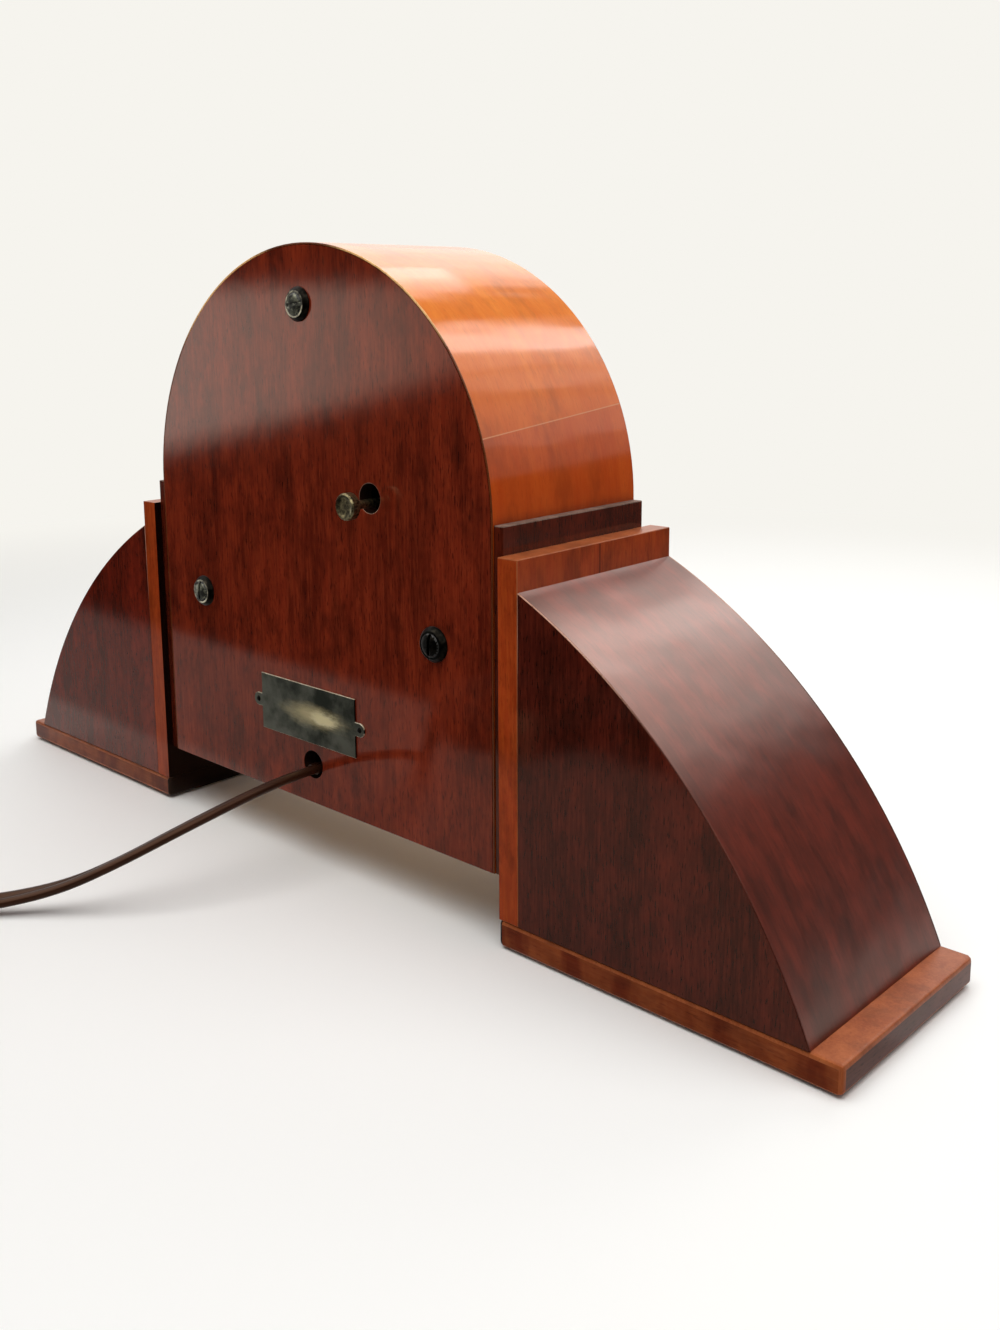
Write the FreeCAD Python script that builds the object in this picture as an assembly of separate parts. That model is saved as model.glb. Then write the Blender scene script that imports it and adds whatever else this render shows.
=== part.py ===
import FreeCAD
import Part
import math
import os
from FreeCAD import Vector

# Electric shelf clock in a round-topped wooden case with stepped pilasters and curved wings.
# Millimetres. X points right as the dial is seen, Y points to the back, Z points up.
# The origin is the middle of the clock's footprint, at the underside of the felt pads.
# Case heights are measured from the undersides of the base slabs.

# Body of the case
body_half_width = 94.0
spring_height = 142.5
body_bottom_height = 23.0
body_depth = 76.8
band_thickness = 5.0
band_lip = 0.8
panel_thickness = 6.0
panel_gap = 0.1
bottom_board_thickness = 8.0
corner_block_size = 16.0
glue_gap = 0.1

# Pilasters, base slabs and felt
inner_pilaster_thickness = 4.0
inner_pilaster_set_back = 0.5
outer_pilaster_thickness = 8.5
outer_pilaster_height = 133.0
back_projection = 2.5
front_projection = 4.5
slab_thickness = 9.0
slab_length = 123.0
felt_thickness = 1.2
felt_inset = 5.0

# Wings
wing_length = 104.5
wing_height = 122.5
wing_radius = 217.0
wing_top_thickness = 3.5
wing_cheek_thickness = 4.0
wing_block_size = 12.0
wing_block_length = 62.0

# Wood screws through the base slabs
slab_screw_head_radius = 3.5
slab_screw_head_depth = 2.2
slab_screw_radius = 1.6
slab_screw_length = 20.0
slab_screw_inset = 16.0
slab_screw_block_reach = 45.0
screw_hole_gap = 0.05

# Dial unit on the front of the body
dial_height = 137.2
dial_opening_radius = 70.0
pan_radius = 69.6
pan_depth = 14.0
pan_sheet = 0.8
pan_floor_opening_radius = 46.0
dial_radius = 72.4
dial_thickness = 0.6
dial_centre_hole_radius = 4.2
sight_ring_depth = 3.2
sight_ring_inner_radius = 66.5
sight_ring_front_radius = 69.0
crystal_thickness = 1.8
crystal_rise = 6.5
crystal_dome_radius = 68.6
bezel_bore_gap = 0.4
bezel_radius = 85.0
bezel_flange_thickness = 2.0
bezel_step_radius = 80.5
bezel_step_rise = 1.4
bezel_lip_thickness = 1.4
bezel_lip_radius = 69.0
bezel_crown_radius = 74.5
bezel_edge_round = 0.8

# Long case screws from the back panel to the bezel
case_screw_circle_radius = 77.4
case_screw_count = 3
case_screw_radius = 2.0
case_screw_hole_radius = 2.6
case_screw_head_radius = 4.2
case_screw_crown = 1.0
case_screw_slot_width = 1.1
case_screw_slot_depth = 1.3
case_screw_end_room = 0.6
case_screw_slot_turns_deg = (4.0, 35.0, 86.0)
bezel_boss_radius = 3.5
bezel_boss_length = 5.4
bezel_boss_depth = 1.5
boss_hole_gap = 0.3
washer_radius = 6.35
washer_height = 2.2
washer_sheet = 0.5
washer_crown_radius = 5.0

# Hands
hour_hand_length = 41.0
hour_hand_width = 5.0
hour_hand_hub_radius = 6.2
minute_hand_length = 60.0
minute_hand_width = 4.0
minute_hand_hub_radius = 4.8
second_hand_length = 59.0
second_hand_tail = 17.0
second_hand_width = 1.0
second_hand_hub_radius = 2.8
hand_thickness = 0.5
hand_neck_width = 1.8
hour_hand_clearance = 0.9
minute_hand_clearance = 0.7
second_hand_clearance = 0.6
pipe_end_stand = 0.2
second_hub_cap = 0.4
hour_hand_deg = 305.0
minute_hand_deg = 60.0
second_hand_deg = 210.0
hand_point_share = 0.14
hand_neck_share = 0.3

# Movement plates and pillars
plate_thickness = 1.6
plate_spacing = 23.0
front_plate_radius = 54.0
back_plate_half_width = 44.0
back_plate_corner_radius = 8.0
pillar_circle_radius = 50.0
pillar_count = 4
pillar_radius = 3.0
pillar_screw_radius = 1.4
pillar_screw_head_radius = 2.8
pillar_screw_head_height = 1.6
pillar_screw_length = 7.0

# Gear teeth, in modules
wheel_addendum_share = 0.9
wheel_dedendum_share = 1.25
wheel_half_tooth_share = 0.72
pinion_addendum_share = 0.6
pinion_dedendum_share = 1.25
pinion_half_tooth_share = 0.6
tip_half_share = 0.26
wheel_thickness = 1.4
wheel_rim = 1.5
wheel_hub_radius = 3.4
wheel_spoke_width = 1.6
wheel_spokes = 4
running_gap = 0.05
press_gap = 0.02

# Time train between the plates, places measured back from the front plate
seconds_teeth = 36
rotor_teeth = 10
seconds_module = 0.5
seconds_pinion_teeth = 6
intermediate_teeth = 48
intermediate_module = 0.6
intermediate_pinion_teeth = 6
centre_teeth = 45
seconds_arbor_radius = 1.0
intermediate_arbor_radius = 0.9
rotor_shaft_radius = 0.9
centre_wheel_place = 2.4
intermediate_wheel_place = 10.0
seconds_wheel_place = 17.0
pinion_overhang = 1.4
rotor_direction_deg = -90.0
intermediate_direction_deg = 90.0
clutch_collar_radius = 3.6
clutch_collar_thickness = 1.1
clutch_spring_radius = 8.0
clutch_spring_rise = 1.1
clutch_spring_sheet = 0.3
clutch_spring_gap = 0.3
clutch_nut_thickness = 1.2

# Motion work between the front plate and the dial, and the setting shaft
cannon_teeth = 12
motion_teeth = 36
motion_module = 0.8
motion_pinion_teeth = 10
hour_teeth = 40
setting_teeth = 10
setting_shaft_side = -36.05
setting_shaft_rise = 7.4
motion_wheel_place = 1.6
hour_wheel_place = 4.4
motion_pinion_length = 4.0
minute_tube_radius = 2.0
hour_pipe_radius = 3.2
motion_stud_radius = 1.2
motion_stud_head_radius = 2.2
motion_stud_head_height = 0.8
motion_end_play = 0.2
setting_shaft_radius = 1.6
setting_collar_radius = 2.8
setting_collar_thickness = 1.0
setting_hole_radius = 5.4
setting_hole_rise = 9.1
knob_radius = 4.85
knob_length = 4.0
knob_stand = 8.4
knob_neck_radius = 2.4
knob_neck_length = 1.6
knob_dish = 0.7
knob_round = 0.6
knob_flutes = 24
knob_flute_radius = 0.32

# Motor on the back of the movement
rotor_offset = 12.5
rotor_gear_case_radius = 19.0
rotor_gear_case_length = 9.0
rotor_cap_radius = 12.0
rotor_cap_length = 14.0
rotor_case_round = 1.5
rotor_bearing_depth = 4.0
core_gap = 0.6
core_thickness = 12.0
core_half_width = 26.0
core_top_rise = 22.0
core_drop = 44.0
core_limb_width = 11.0
core_bar_height = 12.0
core_window_height = 14.0
pole_gap = 2.0
coil_wall = 6.5
coil_end_gap = 0.5
coil_round = 2.0
field_post_radius = 3.0
field_post_side = 20.0
field_post_drop = 8.0
field_screw_radius = 1.5
field_screw_head_radius = 3.0
field_screw_head_height = 1.8

# Label plate and its pins
label_width = 55.5
label_height = 22.8
label_sheet = 0.6
label_side = 2.2
label_centre_height = 59.0
label_ear_radius = 2.6
label_ear_reach = 2.45
label_pin_radius = 0.6
label_pin_head_radius = 1.2
label_pin_head_height = 0.5
label_pin_length = 5.0

# Cord, a flat twin lead whose width is the diameter here
cord_diameter = 6.4
cord_hole_radius = 5.5
cord_hole_height = 38.8
cord_hole_gap = 0.2
cord_run_share = 0.45
inner_lead_bend = 16.0

# Cord coil, its tie and the plug
coil_middle_radius = 38.4
coil_pitch = 7.0
coil_layer_turns = 2.75
coil_climb_turns = 0.5
coil_leave_turns = 0.5
coil_leave_pitches = 1.3
coil_steps_a_turn = 4
tie_sheet = 0.8
tie_gap = 0.4
tie_width = 9.0
tie_turn = 0.75
plug_radius = 13.0
plug_neck_radius = 5.5
plug_length = 30.0
plug_neck_length = 9.0
plug_half_height = 8.5
plug_round = 2.0
blade_spacing = 12.7
blade_width = 6.3
blade_sheet = 1.5
blade_length = 17.0
blade_root = 6.0
blade_slot_gap = 0.05

overrun = 2.0

# Places worked out from the sizes above
slab_top = felt_thickness + slab_thickness
body_bottom = felt_thickness + body_bottom_height
spring_z = felt_thickness + spring_height
dial_z = felt_thickness + dial_height
outer_pilaster_top = felt_thickness + outer_pilaster_height
inner_pilaster_x = body_half_width + inner_pilaster_thickness
wing_x = inner_pilaster_x + outer_pilaster_thickness

crystal_reach = pan_sheet + dial_thickness + sight_ring_depth + crystal_thickness + crystal_rise
knob_reach = knob_stand + knob_length
back_y = (body_depth + crystal_reach + knob_reach) / 2 - knob_reach
front_y = back_y - body_depth
inner_front_y = front_y + panel_thickness
inner_back_y = back_y - panel_thickness
rear_y = back_y + back_projection
fore_y = front_y - front_projection

pan_front = front_y - pan_sheet
dial_front = pan_front - dial_thickness
ring_front = dial_front - sight_ring_depth
crystal_rim_front = ring_front - crystal_thickness
bezel_front = crystal_rim_front - bezel_lip_thickness

plate_front = front_y + pan_depth
plate_inner = plate_front + plate_thickness
back_plate_front = plate_inner + plate_spacing
back_plate_rear = back_plate_front + plate_thickness

setting_x = setting_shaft_side
setting_z = dial_z + setting_shaft_rise
intermediate_distance = intermediate_module * (seconds_pinion_teeth + intermediate_teeth) / 2
centre_module = 2 * intermediate_distance / (centre_teeth + intermediate_pinion_teeth)
rotor_distance = seconds_module * (seconds_teeth + rotor_teeth) / 2
motion_distance = motion_module * (cannon_teeth + motion_teeth) / 2
setting_distance = motion_module * (motion_teeth + setting_teeth) / 2
hour_module = 2 * motion_distance / (hour_teeth + motion_pinion_teeth)

nodes = {}


def block(x0, x1, y0, y1, z0, z1):
    """A rectangular block between two corners."""
    return Part.makeBox(x1 - x0, y1 - y0, z1 - z0, Vector(x0, y0, z0))


def rod(x, z, radius, y0, y1):
    """A round rod along Y."""
    return Part.makeCylinder(radius, y1 - y0, Vector(x, y0, z), Vector(0, 1, 0))


def drill(x, z, radius, y0, y1):
    """A cutter along Y that runs past both faces."""
    return rod(x, z, radius, y0 - overrun, y1 + overrun)


def tube(x, z, outer, inner, y0, y1):
    """A round tube along Y."""
    return rod(x, z, outer, y0, y1).cut(drill(x, z, inner, y0, y1))


def turned(points, x, z):
    """A solid turned about an axis along Y. Each point is a radius and a place along Y."""
    wire = Part.makePolygon([Vector(x + r, y, z) for r, y in points + points[:1]])
    return Part.Face(wire).revolve(Vector(x, 0, z), Vector(0, 1, 0), 360)


def slab_of(wire, y0, y1):
    """The outline of a wire in the XZ plane, made solid from y0 to y1."""
    face = Part.Face(wire)
    face.translate(Vector(0, y0, 0))
    return face.extrude(Vector(0, y1 - y0, 0))


def outline(points):
    """A closed outline of straight sides in the XZ plane."""
    return Part.makePolygon([Vector(x, 0, z) for x, z in points + points[:1]])


def polar(radius, angle, x=0, z=0):
    """The point at a radius and an angle, counted from +X towards +Z."""
    return x + radius * math.cos(angle), z + radius * math.sin(angle)


def joined(shapes):
    """Several touching solids made one."""
    whole = shapes[0].multiFuse(shapes[1:])
    return whole.removeSplitter()


def without(shape, tools):
    """A shape with several others cut out of it."""
    return shape.cut(Part.makeCompound(tools))


def mirrored(shape):
    """The same piece on the other side of the clock."""
    return shape.mirror(Vector(0, 0, 0), Vector(1, 0, 0))


def pair(name, shape):
    """Keeps a piece of the right side and its twin on the left."""
    nodes[name + "_right"] = shape
    nodes[name + "_left"] = mirrored(shape)


def arch(half_width, y0, y1, bottom):
    """A round-topped block as wide as the body or a share of it."""
    left = Vector(-half_width, 0, spring_z)
    top = Vector(0, 0, spring_z + half_width)
    right = Vector(half_width, 0, spring_z)
    edges = [
        Part.LineSegment(Vector(-half_width, 0, bottom), left).toShape(),
        Part.Arc(left, top, right).toShape(),
        Part.LineSegment(right, Vector(half_width, 0, bottom)).toShape(),
        Part.LineSegment(Vector(half_width, 0, bottom), Vector(-half_width, 0, bottom)).toShape(),
    ]
    return slab_of(Part.Wire(edges), y0, y1)


def case_screw_places():
    """The centres of the three case screws, the first straight above the dial's centre."""
    turn = 2 * math.pi / case_screw_count
    return [polar(case_screw_circle_radius, math.pi / 2 + turn * k, 0, dial_z)
            for k in range(case_screw_count)]


def body_pieces():
    """Arch band, panels, bottom board and corner blocks."""
    lip_half_width = body_half_width - band_lip
    inside = body_half_width - band_thickness
    band = arch(body_half_width, front_y, back_y, body_bottom)
    hollow = arch(inside, front_y - overrun, back_y + overrun, body_bottom - overrun)
    front_seat = arch(lip_half_width, front_y - overrun, inner_front_y, body_bottom - overrun)
    back_seat = arch(lip_half_width, inner_back_y, back_y + overrun, body_bottom - overrun)
    nodes["arch_band"] = without(band, [hollow, front_seat, back_seat])

    panel_half_width = lip_half_width - panel_gap
    front = arch(panel_half_width, front_y, inner_front_y, body_bottom)
    cuts = [drill(0, dial_z, dial_opening_radius, front_y, inner_front_y)]
    for x, z in case_screw_places():
        cuts.append(drill(x, z, bezel_boss_radius + boss_hole_gap, front_y, inner_front_y))
    nodes["front_panel"] = without(front, cuts)

    back = arch(panel_half_width, inner_back_y, back_y, body_bottom)
    cuts = [
        drill(setting_x, dial_z + setting_hole_rise, setting_hole_radius, inner_back_y, back_y),
        drill(0, felt_thickness + cord_hole_height, cord_hole_radius, inner_back_y, back_y),
    ]
    for x, z in case_screw_places():
        cuts.append(drill(x, z, case_screw_hole_radius, inner_back_y, back_y))
    pin_hole = label_pin_radius + screw_hole_gap
    for x, z in label_pin_places():
        cuts.append(rod(x, z, pin_hole, back_y - label_pin_length, back_y + overrun))
    nodes["back_panel"] = without(back, cuts)

    board_top = body_bottom + bottom_board_thickness
    nodes["bottom_board"] = block(-inside, inside, inner_front_y, inner_back_y, body_bottom, board_top)
    corner = outline([
        (inside, board_top),
        (inside, board_top + corner_block_size),
        (inside - corner_block_size, board_top),
    ])
    corner = slab_of(corner, inner_front_y, inner_back_y)
    return [corner, mirrored(corner)]


def slab_screw_places():
    """The four screws of the right base slab, two under the pilaster and two under the wing blocks."""
    pilaster_x = inner_pilaster_x + outer_pilaster_thickness / 2
    block_x = wing_x + slab_screw_block_reach
    block_inset = wing_cheek_thickness + wing_block_size / 2
    return [
        (pilaster_x, fore_y + slab_screw_inset),
        (pilaster_x, rear_y - slab_screw_inset),
        (block_x, fore_y + block_inset),
        (block_x, rear_y - block_inset),
    ]


def wood_screw(x, y, gap):
    """A countersunk wood screw pointing up from a slab's underside, or with a gap its hole."""
    bottom = felt_thickness
    neck = bottom + slab_screw_head_depth
    head = Part.makeCone(slab_screw_head_radius + gap, slab_screw_radius + gap, neck - bottom,
                         Vector(x, y, bottom))
    shank = Part.makeCylinder(slab_screw_radius + gap, slab_screw_length - slab_screw_head_depth + gap,
                              Vector(x, y, neck))
    return joined([head, shank])


def wing_arc_centre():
    """The centre of the wing's outer curve, which passes through its top and its toe."""
    x0, z0 = wing_x, felt_thickness + wing_height
    x1, z1 = wing_x + wing_length, slab_top
    half_x, half_z = (x1 - x0) / 2, (z1 - z0) / 2
    half_chord = math.hypot(half_x, half_z)
    away = math.sqrt(wing_radius ** 2 - half_chord ** 2)
    return x0 + half_x + half_z / half_chord * away, z0 + half_z - half_x / half_chord * away


def wing_room(y0, y1):
    """The box that holds a wing: right of the pilaster and above the slab."""
    return block(wing_x, wing_x + wing_length + overrun, y0, y1, slab_top, slab_top + wing_height)


def side_pieces():
    """Pilasters, base slab, felt and wing of the right side, with their twins on the left."""
    set_back = inner_pilaster_set_back
    pair("inner_pilaster", block(body_half_width, inner_pilaster_x, front_y + set_back,
                                 back_y - set_back, body_bottom, spring_z))
    holes = [wood_screw(x, y, screw_hole_gap) for x, y in slab_screw_places()]
    post = block(inner_pilaster_x, wing_x, fore_y, rear_y, slab_top, outer_pilaster_top)
    pair("outer_pilaster", without(post, holes))
    slab_end = inner_pilaster_x + slab_length
    slab = block(inner_pilaster_x, slab_end, fore_y, rear_y, felt_thickness, slab_top)
    pair("base_slab", without(slab, holes))
    pair("felt_pad", block(inner_pilaster_x + felt_inset, slab_end - felt_inset,
                           fore_y + felt_inset, rear_y - felt_inset, 0, felt_thickness))
    screws = [wood_screw(x, y, 0) for x, y in slab_screw_places()]
    nodes["slab_screws"] = Part.makeCompound(screws + [mirrored(s) for s in screws])

    x, z = wing_arc_centre()
    under = wing_radius - wing_top_thickness
    shell = tube(x, z, wing_radius, under, fore_y, rear_y).common(wing_room(fore_y, rear_y))
    pair("wing_top", shell)
    cheek = rod(x, z, under - glue_gap, fore_y, rear_y)
    pair("wing_front_cheek", cheek.common(wing_room(fore_y, fore_y + wing_cheek_thickness)))
    pair("wing_back_cheek", cheek.common(wing_room(rear_y - wing_cheek_thickness, rear_y)))
    rails = []
    for rail_y in (fore_y + wing_cheek_thickness, rear_y - wing_cheek_thickness - wing_block_size):
        rail = block(wing_x, wing_x + wing_block_length, rail_y, rail_y + wing_block_size,
                     slab_top, slab_top + wing_block_size)
        rails.append(without(rail, holes))
    return rails + [mirrored(r) for r in rails]


def bezel_pieces():
    """Bezel with its bosses, crystal, sight ring, dial and dial pan."""
    bore = dial_radius + bezel_bore_gap
    step_y = front_y - bezel_flange_thickness
    rise_y = step_y - bezel_step_rise
    half = math.sqrt(0.5)
    crown_x = bezel_step_radius - bezel_crown_radius
    crown_y = rise_y - bezel_front
    mid = Vector(bezel_crown_radius + crown_x * half, rise_y - crown_y * half, dial_z)
    flange_y = step_y + bezel_edge_round
    corners = [
        Vector(bore, front_y, dial_z),
        Vector(bezel_radius, front_y, dial_z),
        Vector(bezel_radius, flange_y, dial_z),
        Vector(bezel_radius - bezel_edge_round, step_y, dial_z),
        Vector(bezel_step_radius, step_y, dial_z),
        Vector(bezel_step_radius, rise_y, dial_z),
    ]
    edges = [Part.LineSegment(a, b).toShape() for a, b in zip(corners, corners[1:])]
    crown_end = Vector(bezel_crown_radius, bezel_front, dial_z)
    edges.append(Part.Arc(corners[-1], mid, crown_end).toShape())
    lip = [
        crown_end,
        Vector(bezel_lip_radius + bezel_edge_round, bezel_front, dial_z),
        Vector(bezel_lip_radius, bezel_front + bezel_edge_round, dial_z),
        Vector(bezel_lip_radius, crystal_rim_front, dial_z),
        Vector(bore, crystal_rim_front, dial_z),
        corners[0],
    ]
    edges += [Part.LineSegment(a, b).toShape() for a, b in zip(lip, lip[1:])]
    ring = Part.Face(Part.Wire(edges)).revolve(Vector(0, 0, dial_z), Vector(0, 1, 0), 360)
    places = case_screw_places()
    bosses = [rod(x, z, bezel_boss_radius, front_y - bezel_boss_depth / 2, front_y + bezel_boss_length)
              for x, z in places]
    threads = [rod(x, z, case_screw_radius + running_gap, front_y - bezel_boss_depth,
                   front_y + bezel_boss_length + overrun) for x, z in places]
    nodes["bezel"] = without(joined([ring] + bosses), threads)

    nodes["crystal"] = crystal()
    ring = [
        (sight_ring_inner_radius, dial_front),
        (dial_radius, dial_front),
        (dial_radius, ring_front),
        (sight_ring_front_radius, ring_front),
    ]
    nodes["sight_ring"] = turned(ring, 0, dial_z)
    nodes["dial"] = tube(0, dial_z, dial_radius, dial_centre_hole_radius, dial_front, pan_front)
    inner = pan_radius - pan_sheet
    pan = [
        (dial_radius, pan_front),
        (dial_radius, front_y),
        (pan_radius, front_y),
        (pan_radius, plate_front),
        (pan_floor_opening_radius, plate_front),
        (pan_floor_opening_radius, plate_front - pan_sheet),
        (inner, plate_front - pan_sheet),
        (inner, pan_front),
    ]
    holes = [drill(x, z, pillar_screw_radius + running_gap, plate_front - pan_sheet, plate_front)
             for x, z in pillar_places()]
    nodes["dial_pan"] = without(turned(pan, 0, dial_z), holes)


def crystal():
    """The convex glass: two arcs about the dial's axis and a flat ground rim."""
    def arc_to_rim(rim_y):
        apex_y = rim_y - crystal_rise
        radius = (crystal_dome_radius ** 2 + crystal_rise ** 2) / (2 * crystal_rise)
        half_angle = math.asin(crystal_dome_radius / radius) / 2
        sag = radius * (1 - math.cos(half_angle))
        middle = Vector(radius * math.sin(half_angle), apex_y + sag, dial_z)
        return Part.Arc(Vector(0, apex_y, dial_z), middle, Vector(crystal_dome_radius, rim_y, dial_z))

    corners = [
        Vector(crystal_dome_radius, crystal_rim_front, dial_z),
        Vector(dial_radius, crystal_rim_front, dial_z),
        Vector(dial_radius, ring_front, dial_z),
        Vector(crystal_dome_radius, ring_front, dial_z),
    ]
    inner_apex = Vector(0, ring_front - crystal_rise, dial_z)
    outer_apex = Vector(0, crystal_rim_front - crystal_rise, dial_z)
    edges = [arc_to_rim(crystal_rim_front).toShape()]
    edges += [Part.LineSegment(a, b).toShape() for a, b in zip(corners, corners[1:])]
    edges += [arc_to_rim(ring_front).toShape(), Part.LineSegment(inner_apex, outer_apex).toShape()]
    wire = Part.Wire(Part.__sortEdges__(edges))
    return Part.Face(wire).revolve(Vector(0, 0, dial_z), Vector(0, 1, 0), 360)


def washers_and_screws():
    """Cup washers on the back panel and the long screws that draw the bezel back."""
    washers = []
    screws = []
    hole = case_screw_radius + running_gap
    seat_y = back_y + washer_height
    head_base = back_y + washer_sheet
    for (x, z), turn in zip(case_screw_places(), case_screw_slot_turns_deg):
        cup = [
            (hole + washer_sheet, back_y),
            (washer_radius, back_y),
            (washer_radius, back_y + washer_sheet),
            (washer_crown_radius, seat_y),
            (case_screw_head_radius + running_gap, seat_y),
            (hole, back_y + washer_sheet),
        ]
        washers.append(turned(cup, x, z))
        top = seat_y + case_screw_crown
        crown = case_screw_head_radius * math.sqrt(0.5)
        profile = [
            (0, front_y - bezel_boss_depth + case_screw_end_room),
            (case_screw_radius, front_y - bezel_boss_depth + case_screw_end_room),
            (case_screw_radius, head_base),
            (case_screw_head_radius, seat_y),
            (crown, top - case_screw_crown * (1 - math.sqrt(0.5))),
            (0, top),
        ]
        screw = turned(profile, x, z)
        slot = block(x - washer_radius, x + washer_radius, top - case_screw_slot_depth, top + overrun,
                     z - case_screw_slot_width / 2, z + case_screw_slot_width / 2)
        slot.rotate(Vector(x, 0, z), Vector(0, 1, 0), turn)
        screws.append(screw.cut(slot))
    nodes["cup_washers"] = Part.makeCompound(washers)
    nodes["case_screws"] = Part.makeCompound(screws)


def label_pin_places():
    """The two pins in the ears of the label plate."""
    reach = label_width / 2 + label_ear_reach
    z = felt_thickness + label_centre_height
    return [(label_side - reach, z), (label_side + reach, z)]


def label_pieces():
    """Bare label plate with half-round ears, and its two domed pins."""
    x0, x1 = label_side - label_width / 2, label_side + label_width / 2
    z = felt_thickness + label_centre_height
    top_y = back_y + label_sheet
    plate = [block(x0, x1, back_y, top_y, z - label_height / 2, z + label_height / 2)]
    pins = []
    for x, pin_z in label_pin_places():
        inner_x = x0 if x < label_side else x1
        plate.append(rod(x, pin_z, label_ear_radius, back_y, top_y))
        plate.append(block(min(x, inner_x), max(x, inner_x), back_y, top_y,
                           pin_z - label_ear_radius, pin_z + label_ear_radius))
        head = turned([
            (0, back_y - label_pin_length + running_gap),
            (label_pin_radius, back_y - label_pin_length + running_gap),
            (label_pin_radius, top_y),
            (label_pin_head_radius, top_y),
            (label_pin_radius, top_y + label_pin_head_height),
            (0, top_y + label_pin_head_height),
        ], x, pin_z)
        pins.append(head)
    holes = [drill(x, pin_z, label_pin_radius + running_gap, back_y, top_y)
             for x, pin_z in label_pin_places()]
    nodes["label_plate"] = without(joined(plate), holes)
    nodes["plate_pins"] = Part.makeCompound(pins)


def toothed(teeth, module, phase, y0, y1, x, z, pinion=False):
    """A disc with clock teeth. A tooth is centred at the phase angle."""
    addendum = (pinion_addendum_share if pinion else wheel_addendum_share) * module
    dedendum = (pinion_dedendum_share if pinion else wheel_dedendum_share) * module
    half = (pinion_half_tooth_share if pinion else wheel_half_tooth_share) * module
    pitch = teeth * module / 2
    root, tip = pitch - dedendum, pitch + addendum
    flank = half / pitch
    end = tip_half_share * module / tip
    tooth = [(root, -flank), (pitch, -flank), (tip, -end), (tip, end), (pitch, flank), (root, flank)]
    points = []
    for k in range(teeth):
        middle = phase + 2 * math.pi * k / teeth
        points += [polar(radius, middle + angle, x, z) for radius, angle in tooth]
    return slab_of(outline(points), y0, y1)


def meshed(phase, teeth, direction, other_teeth):
    """The phase of a gear that meshes with one whose teeth, phase and direction to it are given."""
    pitch = 2 * math.pi / teeth
    ahead = ((direction - phase) / pitch) % 1
    return direction + math.pi + (ahead + 1 / 2) * 2 * math.pi / other_teeth


def crossed_wheel(teeth, module, phase, y0, x, z, bore):
    """A clock wheel with its spokes crossed out."""
    y1 = y0 + wheel_thickness
    wheel = toothed(teeth, module, phase, y0, y1, x, z)
    rim = teeth * module / 2 - wheel_dedendum_share * module - wheel_rim
    window = tube(x, z, rim, wheel_hub_radius, y0 - overrun, y1 + overrun)
    spokes = []
    for k in range(wheel_spokes):
        spoke = block(x, x + rim + wheel_rim / 2, y0 - 2 * overrun, y1 + 2 * overrun,
                      z - wheel_spoke_width / 2, z + wheel_spoke_width / 2)
        spoke.rotate(Vector(x, 0, z), Vector(0, 1, 0), -math.degrees(phase) - 360 * k / wheel_spokes)
        spokes.append(spoke)
    return without(wheel, [without(window, spokes), drill(x, z, bore, y0, y1)])


def pillar_places():
    """The four pillars of the movement."""
    turn = 2 * math.pi / pillar_count
    return [polar(pillar_circle_radius, turn * (k + 1 / 2), 0, dial_z) for k in range(pillar_count)]


def motion_place():
    """The motion wheel's centre, in mesh with the cannon pinion and the setting pinion."""
    span = math.hypot(setting_x, setting_shaft_rise)
    along = (motion_distance ** 2 + span ** 2 - setting_distance ** 2) / (2 * span)
    aside = math.sqrt(motion_distance ** 2 - along ** 2)
    ux, uz = setting_x / span, setting_shaft_rise / span
    return ux * along + uz * aside, dial_z + uz * along - ux * aside


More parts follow.
